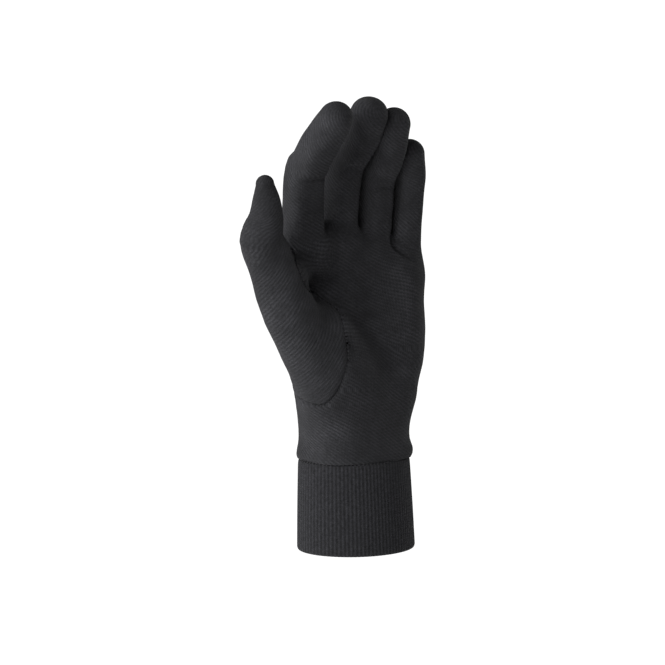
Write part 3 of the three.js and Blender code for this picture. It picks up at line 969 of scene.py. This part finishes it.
@dataclass(frozen=True)
class RibKnit:
    """Ribbed knit of the same yarn with elastic, in two layers turned at the hem.

    The ribs are modelled; the small loops along each rib are only a fine roughness to the eye.
    """

    name: str = "rib_knit"
    rib_shade: str = "#161618"
    # furrow_painted_shade: the furrows between the ribs are painted darker, painted shade on top
    # of the modelled ribs
    furrow_painted_shade: str = "#0e0e0f"
    course: float = 1.5
    loop_height: float = 0.25
    relief: float = 0.8
    loop_share: float = 0.3
    fuzz_scale: float = 650.0  # a metre, for the hairs of the yarn
    tints: tuple = (0.7, 1.3)
    yarn: MattYarn = MattYarn()

    def make(self) -> bpy.types.Material:
        """Makes the material.

        Returns:
            The material, which reads places in the knit from the piece's own corners.
        """
        material, tree = new_material(self.name)
        rib = add(tree, "ShaderNodeAttribute", {"attribute_name": "rib_height"})
        place = add(tree, "ShaderNodeTexCoord")
        fuzz = add(tree, "ShaderNodeTexNoise", None,
                   {"Vector": place.outputs["Object"], "Scale": self.fuzz_scale,
                    "Detail": 3.0})
        apart = add(tree, "ShaderNodeSeparateXYZ", None, {0: place.outputs["Object"]})
        row = add(tree, "ShaderNodeMath", {"operation": "MULTIPLY"},
                  {0: apart.outputs[2], 1: TURN / (self.course * MM)})
        wave = add(tree, "ShaderNodeMath", {"operation": "SINE"}, {0: row.outputs[0]})
        # Painted shade: the colour darkens from the ribs down into the furrows
        shade = add(tree, "ShaderNodeMix", {"data_type": "RGBA"}, {
            0: rib.outputs["Fac"], 6: linear(self.furrow_painted_shade), 7: linear(self.rib_shade)})
        tint = add(tree, "ShaderNodeMapRange", None,
                   {0: fuzz.outputs["Fac"], 1: 0.3, 2: 0.7, 3: self.tints[0],
                    4: self.tints[1]})
        colour = add(tree, "ShaderNodeVectorMath", {"operation": "SCALE"},
                     {0: shade.outputs[2], "Scale": tint.outputs[0]})
        relief = add(tree, "ShaderNodeMath", {"operation": "MULTIPLY_ADD"},
                     {0: wave.outputs[0], 1: self.loop_share, 2: fuzz.outputs["Fac"]})
        self.yarn.cover(tree, colour.outputs[0], relief.outputs[0], self.loop_height,
                        self.relief)
        return material


@dataclass(frozen=True)
class SewingThread:
    """Spun polyester sewing thread, twisted from two plies.

    To the eye it is a little smoother and darker than the knit around it.
    """

    name: str = "sewing_thread"
    shade: str = "#161618"
    # groove_painted_shade: the twist grooves of the thread are painted darker, painted shade in
    # the grooves
    groove_painted_shade: str = "#0b0b0c"
    twist: float = 0.6
    groove: float = 0.1
    relief: float = 0.5
    roughness: float = 0.8
    specular: float = 0.2

    def make(self) -> bpy.types.Material:
        """Makes the material.

        Returns:
            The material.
        """
        material, tree = new_material(self.name)
        place = add(tree, "ShaderNodeTexCoord")
        wave = add(tree, "ShaderNodeTexWave", {"bands_direction": "DIAGONAL"},
                   {"Vector": place.outputs["Object"], "Scale": 1 / (self.twist * MM) / 3})
        # Painted shade: the colour darkens into the twist grooves that the bump draws
        colour = add(tree, "ShaderNodeMix", {"data_type": "RGBA"}, {
            0: wave.outputs["Fac"], 6: linear(self.groove_painted_shade),
            7: linear(self.shade)})
        bump = add(tree, "ShaderNodeBump", None, {
            "Strength": self.relief, "Distance": self.groove * MM,
            "Height": wave.outputs["Fac"]})
        thread = add(tree, "ShaderNodeBsdfPrincipled", None, {
            "Base Color": colour.outputs[2], "Roughness": self.roughness,
            "Specular IOR Level": self.specular, "Normal": bump.outputs[0]})
        add(tree, "ShaderNodeOutputMaterial", None, {0: thread.outputs[0]})
        return material


@dataclass(frozen=True)
class StudioPaper:
    """A wide roll of matt white background paper.

    The camera sees it evenly lit, as in a studio with lamps on the background alone. The glove
    gets only the paper's own soft bounce.
    """

    name: str = "studio_paper"
    shade: str = "#f7f7f7"
    lit: float = 1.1
    grain_scale: float = 400.0  # a metre
    grain_height: float = 0.1
    relief: float = 0.1
    roughness: float = 0.9
    specular: float = 0.2

    def make(self) -> bpy.types.Material:
        """Makes the material.

        Returns:
            The material.
        """
        material, tree = new_material(self.name)
        place = add(tree, "ShaderNodeTexCoord")
        grain = add(tree, "ShaderNodeTexNoise", None,
                    {"Vector": place.outputs["Object"], "Scale": self.grain_scale})
        bump = add(tree, "ShaderNodeBump", None, {
            "Strength": self.relief, "Distance": self.grain_height * MM,
            "Height": grain.outputs["Fac"]})
        paper = add(tree, "ShaderNodeBsdfPrincipled", None, {
            "Base Color": linear(self.shade), "Roughness": self.roughness,
            "Specular IOR Level": self.specular, "Normal": bump.outputs[0]})
        glow = add(tree, "ShaderNodeEmission", None, {"Strength": self.lit})
        path = add(tree, "ShaderNodeLightPath")
        seen = add(tree, "ShaderNodeMixShader", None, {
            0: path.outputs["Is Camera Ray"], 1: paper.outputs[0], 2: glow.outputs[0]})
        add(tree, "ShaderNodeOutputMaterial", None, {0: seen.outputs[0]})
        return material


# ---------------------------------------------------------------- pieces


def new_piece(name: str, points: Array, faces: list, material: bpy.types.Material,
              nodes: tuple = ()) -> bpy.types.Object:
    """Makes a piece of the glove and puts it on the frame.

    Args:
        name: The piece's name.
        points: Its corners, in mm.
        faces: Its faces, as rows of corner numbers.
        material: Its finish.
        nodes: The solids that it stands for.

    Returns:
        The new object.
    """
    mesh = bpy.data.meshes.new(name)
    mesh.from_pydata((points * MM).tolist(), [], faces)
    mesh.validate()
    mesh.polygons.foreach_set("use_smooth", [True] * len(mesh.polygons))
    mesh.materials.append(material)
    piece = bpy.data.objects.new(name, mesh)
    bpy.context.scene.collection.objects.link(piece)
    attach(piece, "root")
    if nodes:
        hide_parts(*nodes)
    return piece


def put(piece: bpy.types.Object, name: str, values: Array) -> None:
    """Stores numbers or vectors at the corners of a piece for its material to read.

    Args:
        piece: The piece.
        name: The name that the material reads them by.
        values: One number, or one row of three, for each corner.
    """
    flat = np.asarray(values, np.float32)
    if flat.ndim == 1:
        layer = piece.data.attributes.new(name, "FLOAT", "POINT")
        layer.data.foreach_set("value", flat)
    else:
        layer = piece.data.attributes.new(name, "FLOAT_VECTOR", "POINT")
        layer.data.foreach_set("vector", flat.ravel())


@dataclass
class KnitSkin:
    """What the palm and the thumb share: cloth of one thickness on the filled form."""

    form: WornForm
    seam: ThumbSeam
    step: float = 1.05
    parting: float = 1.3  # how far apart the fingers start, in steps
    cap_margin: float = 0.02
    evening: tuple = (6, 4)  # rounds that even out the inner face's directions and depths
    wall: float = 1.2
    inner_slack: float = 0.5  # folds shallower than this leave the inner face alone
    floor: float = 47.8
    sewn_gap: float = 0.15
    sewn_depth: float = 0.45
    sewn_width: float = 1.3
    # The groove of the thumb's seam fades out at the side, and again up towards the web.
    groove_side: float = -33.0
    groove_side_run: float = 8.0
    groove_side_least: float = 0.25
    groove_top: float = 134.0
    groove_top_run: float = 16.0
    groove_top_least: float = 0.2
    groove_lips: float = 0.3
    groove_lip_place: float = 2.2
    # Slow unevenness of worn cloth: many faint waves, the same at each run.
    waves: int = 14
    wave_lengths: tuple = (11, 26)
    wave_height: float = 0.045
    folds: tuple = ()
    # The deep hollow between the thumb's web and the root of the index finger.
    hollow: Fold = Fold(((-40, -8, 159), (-35, -8, 152), (-31, -8, 147)), 7.5, 9.0, 0.0, False)
    hollow_way: tuple = (0.57, 0.81, -0.12)  # into the palm

    def cut(self, points: Array) -> Array:
        """Distances past the edges of this piece of cloth, more than 0 beyond them."""
        raise NotImplementedError

    def owner(self, points: Array) -> Array:
        """The number of the nearest finger for each point."""
        return self.form.tubes(points).argmin(1)

    def net(self, low: tuple, high: tuple) -> SkinNet:
        """Lays the cloth over the form between two corners.

        Args:
            low: Lowest corner of the room that the piece fills, in mm.
            high: Highest corner.

        Returns:
            The settled net.
        """
        apart = self.parting * self.step

        def closed(points: Array) -> Array:
            """Distances to the form, cut off at this piece's edges."""
            return np.maximum(self.form.parted(points, apart), self.cut(points))

        net = SkinNet.over(closed, low, high, self.step)
        middle = net.points[net.quads].mean(1)
        cap = self.cut(middle) > self.form.parted(middle, apart) + self.cap_margin
        on_cap = np.zeros(len(net.points), bool)
        on_cap[net.quads[cap]] = True
        edge = on_cap[np.unique(net.quads[~cap])]
        cloth = net.keep(~cap)
        owner = self.owner(cloth.points)
        inner = ~edge
        for rounds in (3, 2, 2):
            cloth.points = np.where(edge[:, None], cloth.points,
                                    cloth.spread(cloth.points, 2, 0.4))
            own = owner[inner]
            cloth.points[inner] = settle(
                cloth.points[inner], lambda p: self.form.skin(p, own), rounds)
        own_edge = owner[edge]
        cloth.points[edge] = settle_edge(
            cloth.points[edge], lambda p: self.form.skin(p, own_edge), self.cut)
        return cloth

    def wobble(self, points: Array) -> Array:
        """Adds up the slow waves of worn cloth.

        Args:
            points: Points on the filled form, in mm.

        Returns:
            How far the cloth stands out there, in mm.
        """
        rng = np.random.default_rng(7)
        total = np.zeros(len(points))
        for _ in range(self.waves):
            way = rng.normal(size=3)
            way *= 2 * np.pi / rng.uniform(*self.wave_lengths) / np.linalg.norm(way)
            total += np.sin(points @ way + rng.uniform(0, 2 * np.pi))
        return total * self.wave_height

    def sink(self, points: Array) -> Array:
        """Works out how far the cloth sinks below the filled form.

        Args:
            points: Points on the filled form, in mm.

        Returns:
            Depths along the form's normals, in mm.
        """
        total = sum(fold.laid(self.form.whole).sink(points) for fold in self.folds)
        near = np.abs(self.seam.side(points)) / self.sewn_width
        shown = np.clip((points @ self.seam.view - self.groove_side) / self.groove_side_run,
                        self.groove_side_least, 1)
        shown = shown * np.clip((self.groove_top - points[:, 2]) / self.groove_top_run,
                                self.groove_top_least, 1)
        lips = self.groove_lips * np.exp(-(near - self.groove_lip_place) ** 2)
        total += self.sewn_depth * shown * (np.exp(-near * near) - lips)
        return total - self.wobble(points)

    def hollow_share(self, points: Array) -> Array:
        """How much of the hollow's depth each point takes."""
        return np.ones(len(points))

    def pushed(self, points: Array) -> Array:
        """Pushes the cloth into the hollow.

        Both edges of the seam go the same way, so that the seam stays closed.

        Args:
            points: Points on the filled form, in mm.

        Returns:
            The moved points.
        """
        depth = self.hollow.laid(self.form.whole).sink(points) * self.hollow_share(points)
        return points + depth[:, None] * np.array(self.hollow_way)

    def facing(self, cloth: SkinNet) -> Array:
        """Works out which way the cloth faces.

        Along an edge the form's own slope is used, so that the two edges of a seam sink alike.

        Args:
            cloth: The net on the outer skin.

        Returns:
            Unit normals at its corners.
        """
        normals = cloth.normals()
        edge = np.unique(cloth.rim())
        places, own = cloth.points[edge], self.owner(cloth.points[edge])

        def skin(points: Array) -> Array:
            """Distances to the skin near the edges."""
            return self.form.skin(points, own)

        normals[edge] = unit(slope(skin, places, skin(places)))
        return normals

    def sewn(self, name: str, cloth: SkinNet, material: bpy.types.Material,
             nodes: tuple) -> tuple[bpy.types.Object, Array]:
        """Gives the cloth its folds and its thickness.

        Args:
            name: The piece's name.
            cloth: The net on the outer skin.
            material: The knit.
            nodes: The solids that the piece stands for.

        Returns:
            The piece, and the places of its corners before the folds, outer then inner.
        """
        normals = self.facing(cloth)
        sink = self.sink(cloth.points)
        pushed = self.pushed(cloth.points)
        outer = pushed - normals * sink[:, None]
        inward = unit(cloth.spread(normals, self.evening[0]))
        sunk = cloth.spread(sink, self.evening[1])
        depth = self.wall + np.maximum(sunk - self.inner_slack, 0)
        inner = pushed - inward * depth[:, None]
        rim = cloth.rim()
        count = len(cloth.points)
        walls = np.stack([rim[:, 1], rim[:, 0], rim[:, 0] + count, rim[:, 1] + count], 1)
        faces = np.concatenate([cloth.quads, cloth.quads[:, ::-1] + count, walls])
        piece = new_piece(name, np.concatenate([outer, inner]), faces.tolist(), material,
                          nodes)
        return piece, np.concatenate([cloth.points, cloth.points])


@dataclass
class KnitHand(KnitSkin):
    """The palm, the back and the four fingers, knitted as one."""

    folds: tuple = (
        # Across the joints of the fingers, on the palm side.
        Fold(((-43.6, -12, 197.5), (-39.3, -15.6, 196.6), (-31.8, -15.3, 197.2),
              (-27, -11, 198)), 0.6, 0.9),
        Fold(((-18.5, -9, 196), (-14, -14.5, 196.6), (-8, -14.5, 197), (-2.5, -9, 197)),
             0.8, 1.2),
        Fold(((0.4, -6.9, 187.7), (4, -12.8, 187.2), (8.8, -13.9, 187.8),
              (15.5, -11, 188.5)), 1.2, 0.8),
        # From between the ring and the little finger into the palm.
        Fold(((19.4, -4, 168), (17.4, -9.1, 160.2), (18.4, -10.1, 157), (20.8, -11.6, 154.8),
              (23.7, -12.9, 152.7), (27, -14.4, 150)), 2.0, 1.4, 0.2),
        # The pit where the thumb's seam turns into the palm.
        Fold(((-37, -11.8, 148), (-33.5, -9, 145), (-29, -8, 142.5)), 1.6, 1.4, 0.0),
        # Where the fingers leave the palm.
        Fold(((-44, -10, 164), (-36, -12.5, 163.5), (-28, -12, 165)), 0.9, 2.4),
        Fold(((-22, -9, 170.5), (-16, -12.5, 173.5), (-8, -13, 176.5), (-4, -11, 176)),
             1.1, 2.4),
        Fold(((2, -9.5, 168), (9, -11.5, 166), (16, -10.5, 165)), 0.3, 1.8),
    )
    # The roll of slack cloth above the cuff, fullest on one side of the wrist.
    roll_height: float = 52.0
    roll_width: float = 3.6
    roll_depth: float = 1.2
    roll_turn: float = -0.35  # radians about the wrist
    roll_spread: float = 0.5
    drawn_depth: float = 0.5
    drawn_width: float = 0.9
    # Where the knit of the palm goes over into that of the fingers.
    tube_start: float = 1.0
    tube_run: float = 1.5
    room: tuple = ((-62, -46, 43), (46, 30, 242))

    def cut(self, points: Array) -> Array:
        """Measures how far points are below the cuff seam or past the thumb's seam.

        Args:
            points: Points, in mm.

        Returns:
            Distances, more than 0 beyond this piece of cloth.
        """
        return np.maximum(self.floor - points[:, 2],
                          self.seam.side(points) + self.sewn_gap)

    def sink(self, points: Array) -> Array:
        """Adds the roll of slack cloth just above the cuff, and the cloth drawn in below it.

        Args:
            points: Points on the filled form, in mm.

        Returns:
            Depths along the form's normals, in mm.
        """
        total = super().sink(points)
        height = points[:, 2]
        lie = np.arctan2(points[:, 1], points[:, 0])
        slack = self.roll_depth * np.exp(-((lie - self.roll_turn) / self.roll_spread) ** 2)
        roll = np.exp(-((height - self.roll_height) / self.roll_width) ** 2)
        drawn = np.exp(-((height - self.floor) / self.drawn_width) ** 2)
        return total - slack * roll + self.drawn_depth * drawn

    def build(self, material: bpy.types.Material) -> bpy.types.Object:
        """Builds and dresses the piece.

        Args:
            material: The knit.

        Returns:
            The piece.
        """
        cloth = self.net(*self.room)
        piece, places = self.sewn(
            "knit_hand", cloth, material,
            ("hand", "index_finger", "middle_finger", "ring_finger", "little_finger"))
        owner = self.owner(places)
        tube = np.zeros((len(places), 3))
        for digit, limb in self.form.fingers.items():
            mine = owner == digit.value
            tube[mine] = limb.turn(places[mine])
        own = np.take_along_axis(self.form.tubes(places), owner[:, None], 1)[:, 0]
        reach = self.form.base(places) - own - self.tube_start
        share = np.clip(reach / self.tube_run, 0, 1)
        put(piece, "palm_knit", self.form.trunk.turn(places))
        put(piece, "tube_knit", tube)
        put(piece, "tube_share", share * share * (3 - 2 * share))
        return piece


@dataclass
class SetInThumb(KnitSkin):
    """The thumb and the ball of the thumb, inside their sewn seam."""

    folds: tuple = (
        # A dart of cloth at the tip of the thumb.
        Fold(((-76.3, -25, 199.5), (-78.2, -24.6, 196.8), (-79.4, -25.6, 193.4)), 1.1, 0.9),
        # The joint of the thumb stands out under the cloth.
        Fold(((-79, -24, 160), (-82, -19, 165.5), (-80, -12, 168)), -0.7, 3.2, 0.0),
    )
    turned_in: float = 2.5
    room: tuple = ((-92, -48, 66), (4, 14, 206))

    def cut(self, points: Array) -> Array:
        """Measures how far points are past the thumb's seam or below the cuff seam.

        Args:
            points: Points, in mm.

        Returns:
            Distances, more than 0 beyond this piece of cloth.
        """
        return np.maximum(self.floor - points[:, 2],
                          self.sewn_gap - self.seam.side(points))

    def hollow_share(self, points: Array) -> Array:
        """The thumb's cloth turns into the hollow only close to the seam."""
        return np.exp(-(self.seam.side(points) / self.turned_in) ** 2)

    def build(self, material: bpy.types.Material) -> bpy.types.Object:
        """Builds and dresses the piece.

        Args:
            material: The knit.

        Returns:
            The piece.
        """
        cloth = self.net(*self.room)
        piece, places = self.sewn("set_in_thumb", cloth, material, ("thumb",))
        put(piece, "palm_knit", self.form.thumb.turn(places))
        put(piece, "tube_knit", self.form.thumb.turn(places))
        put(piece, "tube_share", np.ones(len(places)))
        return piece


@dataclass
class RibCuff:
    """The ribbed cuff, turned at the hem and drawn in at its seam with the hand."""

    height: float = 47.5
    hem_half: tuple = (33.0, 26.6)
    top_half: tuple = (31.0, 25.2)
    top_aside: float = -1.5
    # The hem hangs a little lower on one side.
    hem_tilt: float = 0.5
    tilt_way: tuple = (0.82, -0.57)
    wall: float = 2.4
    ribs: int = 88
    rib_depth: float = 0.22
    points_a_rib: int = 8
    # The ribs are spread evenly round an oval of about this width over depth.
    flatness: float = 1.24
    belly: float = 0.1
    rows_down: int = 22
    # Slow unevenness of the hem: its height, and how many waves of each kind go round.
    drift_height: float = 0.12
    drift_waves: tuple = (2, 3, 5, 7)

    def profile(self) -> list:
        """The wall's outline as height, step in from the outer face, and depth of rib.

        Returns:
            Rows from the seam down the outer face, round the hem and up the inner face.
        """
        low, high = 2.3, self.height - 1.6
        outer = [(self.height, 1.1, 0.3), (self.height - 0.15, 0.6, 0.5),
                 (self.height - 0.6, 0.25, 0.8), (high, 0.05, 1.0)]
        for i in range(1, self.rows_down):
            share = i / self.rows_down
            outer.append((high + (low - high) * share,
                          -self.belly * math.sin(math.pi * share), 1.0))
        turn = [(1.2, 0.02, 1.0), (0.3, 0.22, 0.9), (-0.3, 0.6, 0.8), (-0.5, 1.15, 0.7),
                (-0.3, 1.75, 0.6), (0.4, 2.2, 0.5), (1.6, self.wall, 0.4)]
        inner = [(1.8 + (self.height - 2.4) * i / 10, self.wall, 0.4) for i in range(1, 11)]
        return outer + turn + inner + [(self.height, 2.1, 0.2)]

    def build(self, material: bpy.types.Material) -> bpy.types.Object:
        """Builds and dresses the piece.

        Args:
            material: The knit.

        Returns:
            The piece.
        """
        rng = np.random.default_rng(3)
        around = self.ribs * self.points_a_rib
        even = np.linspace(-np.pi, np.pi, around, endpoint=False)
        angles = np.linspace(-np.pi, np.pi, 2049)
        grown = even_turn(angles, np.full(len(angles), self.flatness))
        turn = np.interp(even, grown, angles)
        wave = np.cos(even * self.ribs)
        drift = sum(np.sin(even * k + rng.uniform(0, 6.3)) / k for k in self.drift_waves)
        points, heights = [], []
        for height, step_in, depth in self.profile():
            share = height / self.height
            half = [h + (t - h) * share for h, t in zip(self.hem_half, self.top_half)]
            relief = depth * self.rib_depth * (wave - 1) / 2
            relief = relief + self.drift_height * drift * (1 - share)
            normal = unit(np.stack([np.cos(turn) / half[0], np.sin(turn) / half[1]], 1))
            ring = np.stack([np.cos(turn) * half[0], np.sin(turn) * half[1]], 1)
            ring += normal * (relief - step_in)[:, None]
            lean = ring @ np.array(self.tilt_way) / self.hem_half[0]
            points.append(np.column_stack([ring[:, 0] + self.top_aside * share, ring[:, 1],
                                           height - self.hem_tilt * lean * (1 - share)]))
            heights.append(0.5 + 0.5 * wave * depth)
        rows = len(points)
        index = np.arange(rows * around).reshape(rows, around)
        below, right = np.roll(index, -1, 0), np.roll(index, -1, 1)
        both = np.roll(below, -1, 1)
        faces = np.stack([index, below, both, right], -1).reshape(-1, 4)
        piece = new_piece("rib_cuff", np.concatenate(points), faces.tolist(), material,
                          ("cuff",))
        # rib_height also sets the painted shade of the furrows in the rib material
        put(piece, "rib_height", np.concatenate(heights))
        return piece


@dataclass
class SeamStitches:
    """Short stitches of thread across a seam, each a small tube that dips in at both ends."""

    name: str
    thread: float = 0.3
    span: float = 1.5
    pitch: float = 1.8
    slant: float = 0.5
    rise: float = 0.15
    bite: float = 0.75
    sides: int = 6
    rings: int = 7

    def stitch(self, middle: Array, along: Array, normal: Array) -> Array:
        """One stitch as rings of points.

        Args:
            middle: Its middle on the seam.
            along: The seam's direction there.
            normal: The cloth's normal there.

        Returns:
            Rings of points from one end to the other.
        """
        across = np.cross(normal, along)
        way = across + self.slant * along
        way /= np.linalg.norm(way)
        side = np.cross(normal, way)
        rings = []
        for t in np.linspace(-1, 1, self.rings):
            dip = self.rise - self.bite * abs(t) ** 3
            centre = middle + way * t * self.span / 2 + normal * dip
            thick = self.thread / 2 * math.sqrt(max(1 - abs(t) ** 6, 0.04))
            turns = np.linspace(0, 2 * np.pi, self.sides, endpoint=False)
            rings.append(centre + thick * (np.cos(turns)[:, None] * side
                                           + np.sin(turns)[:, None] * normal))
        return np.array(rings)

    def build(self, line: Array, normals: Array,
              material: bpy.types.Material) -> bpy.types.Object:
        """Lays stitches along a seam.

        Args:
            line: Points along the seam, in mm.
            normals: The cloth's normals there.
            material: The thread.

        Returns:
            The piece.
        """
        steps = np.linalg.norm(np.diff(line, axis=0), axis=1)
        starts = np.concatenate([[0], np.cumsum(steps)])
        near = 0.3  # how far along the seam its direction is read, in mm

        def at_length(rows: Array, at: float) -> Array:
            """The row at a length along the seam."""
            return np.array([np.interp(at, starts, rows[:, k]) for k in range(3)])

        points, faces = [], []
        for at in np.arange(self.pitch / 2, starts[-1], self.pitch):
            normal = at_length(normals, at)
            normal /= np.linalg.norm(normal)
            along = at_length(line, at + near) - at_length(line, at - near)
            along /= np.linalg.norm(along)
            rings = self.stitch(at_length(line, at), along, normal)
            base = len(points) * rings.shape[0] * rings.shape[1]
            for r in range(len(rings) - 1):
                for s in range(self.sides):
                    n = (s + 1) % self.sides
                    a = base + r * self.sides
                    faces.append([a + s, a + n, a + self.sides + n, a + self.sides + s])
            last = base + (len(rings) - 1) * self.sides
            faces.append([base + s for s in reversed(range(self.sides))])
            faces.append([last + s for s in range(self.sides)])
            points.append(rings.reshape(-1, 3))
        return new_piece(self.name, np.concatenate(points), faces, material)


@dataclass
class Studio:
    """A white paper floor, soft lights and the camera. Lengths here are metres."""

    floor_height: float = -0.35
    floor_half: float = 30.0
    eye: tuple = (-0.9215, -1.2945, 0.3081)
    target: tuple = (-0.01066, 0.00641, 0.11312)
    lens: float = 166.6  # mm, on a sensor 36 mm wide
    sensor: float = 36.0
    softbox: tuple = (0.5, 0.7)
    lit_place: tuple = (-0.02, 0, 0.12)
    lights: tuple = (
        # name, place, watts
        ("key_softbox", (-1.42, -0.37, 0.52), 44.0),
        ("side_softbox", (-1.45, 0.25, 0.52), 15.0),
        ("front_softbox", (-1.13, -0.93, 0.52), 19.0),
        ("high_softbox", (0.82, -0.48, 1.28), 4.0),
        ("rim_softbox", (1.41, 0.25, 0.52), 12.0),
        ("low_back_softbox", (-1.13, 0.93, 0.3), 18.0),
    )
    # The air lights the glove dimly, and the camera sees it as white as the paper.
    air: float = 0.4
    air_seen: float = 1.1

    def build(self) -> None:
        """Sets up the floor, the lights, the air and the camera."""
        self.lay_floor()
        for name, place, watts in self.lights:
            self.hang(name, place, watts)
        self.fill_air()
        bpy.context.scene.view_settings.view_transform = "Standard"
        self.aim_camera()

    def lay_floor(self) -> None:
        """Lays the paper below the glove."""
        half = self.floor_half
        ground = ((-half, -half), (half, -half), (half, half), (-half, half))
        mesh = bpy.data.meshes.new("paper_floor")
        mesh.from_pydata([(x, y, self.floor_height) for x, y in ground], [], [(0, 1, 2, 3)])
        mesh.materials.append(StudioPaper().make())
        floor = bpy.data.objects.new("paper_floor", mesh)
        bpy.context.scene.collection.objects.link(floor)

    def hang(self, name: str, place: tuple, watts: float) -> None:
        """Hangs a softbox that faces the glove.

        Args:
            name: The softbox's name.
            place: Where it hangs.
            watts: Its power.
        """
        light = bpy.data.lights.new(name, "AREA")
        light.shape = "RECTANGLE"
        light.size, light.size_y = self.softbox
        light.energy = watts
        self.face(bpy.data.objects.new(name, light), place, self.lit_place)

    def fill_air(self) -> None:
        """Fills the room with plain light."""
        world = bpy.data.worlds.new("studio_air")
        world.use_nodes = True
        tree = world.node_tree
        tree.nodes.clear()
        path = add(tree, "ShaderNodeLightPath")
        strength = add(tree, "ShaderNodeMapRange", None, {
            0: path.outputs["Is Camera Ray"], 3: self.air, 4: self.air_seen})
        light = add(tree, "ShaderNodeBackground", None,
                    {"Color": (1, 1, 1, 1), "Strength": strength.outputs[0]})
        add(tree, "ShaderNodeOutputWorld", None, {0: light.outputs[0]})
        bpy.context.scene.world = world

    def aim_camera(self) -> None:
        """Places the camera at the photograph's angle, level across the frame."""
        lens = bpy.data.cameras.new("camera")
        lens.lens, lens.sensor_width, lens.clip_end = self.lens, self.sensor, 100.0
        camera = bpy.data.objects.new("camera", lens)
        self.face(camera, self.eye, self.target)
        bpy.context.scene.camera = camera

    @staticmethod
    def face(thing: bpy.types.Object, place: tuple, target: tuple) -> None:
        """Puts a lamp or a camera in the scene, turned to a target.

        Args:
            thing: The lamp or camera.
            place: Where it stands.
            target: What it faces.
        """
        thing.location = place
        way = Vector(target) - Vector(place)
        thing.rotation_euler = way.to_track_quat("-Z", "Y").to_euler()
        bpy.context.scene.collection.objects.link(thing)


def thumb_seam_line(form: WornForm, seam: ThumbSeam) -> tuple[Array, Array]:
    """Finds the sewn seam of the thumb on the skin, on the palm side.

    Args:
        form: The filled form.
        seam: The seam's outline.

    Returns:
        Points along the seam, in mm, and the cloth's normals there.
    """
    out_in_front, rounds, pace = 60.0, 60, 0.8
    outline = smooth_rows(np.array(seam.line[slice(*seam.stitched)]), 12)
    upward = np.array([0, 0, 1.0])
    points = outline[:, :1] * seam.view + upward * outline[:, 1:] + seam.face * out_in_front
    owner = np.full(len(points), Digit.INDEX.value)

    def skin(places: Array) -> Array:
        """Distances to the skin, away from the fingers."""
        return form.skin(places, owner)

    for _ in range(rounds):
        points = points - seam.face * np.clip(skin(points), -1, 3)[:, None] * pace
    return points, unit(slope(skin, points, skin(points)))


def cuff_seam_line(cuff: RibCuff) -> tuple[Array, Array]:
    """The seam between the cuff and the hand, all the way round.

    Args:
        cuff: The cuff.

    Returns:
        Points along the seam, in mm, and the cloth's normals there.
    """
    turn = np.linspace(-np.pi, np.pi, 181)
    inset, above = 0.75, 0.1
    wide, deep = cuff.top_half[0] - inset, cuff.top_half[1] - inset
    points = np.stack([np.cos(turn) * wide + cuff.top_aside, np.sin(turn) * deep,
                       np.full(len(turn), cuff.height + above)], 1)
    return points, unit(np.stack([np.cos(turn) / wide, np.sin(turn) / deep, 0 * turn], 1))


def main() -> None:
    logging.basicConfig(level=logging.INFO, format="%(message)s")
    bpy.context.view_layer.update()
    Studio().build()
    form, seam = WornForm(), ThumbSeam()
    thread = SewingThread().make()
    for piece in (
        KnitHand(form, seam).build(FineJersey().make()),
        SetInThumb(form, seam).build(
            FineJersey(name="fine_knit_thumb", tube=KnitCount(54, 24), line_pitch=2.1,
                       lean=Lean.RIGHT).make()),
        RibCuff().build(RibKnit().make()),
        SeamStitches("thumb_stitches", thread=0.28, span=1.2, pitch=1.7).build(
            *thumb_seam_line(form, seam), thread),
        SeamStitches("cuff_stitches", thread=0.45, span=1.9, pitch=2.1, slant=0.7).build(
            *cuff_seam_line(RibCuff()), thread),
    ):
        LOG.info("%s: %d faces", piece.name, len(piece.data.polygons))


if __name__ == "__main__":
    main()
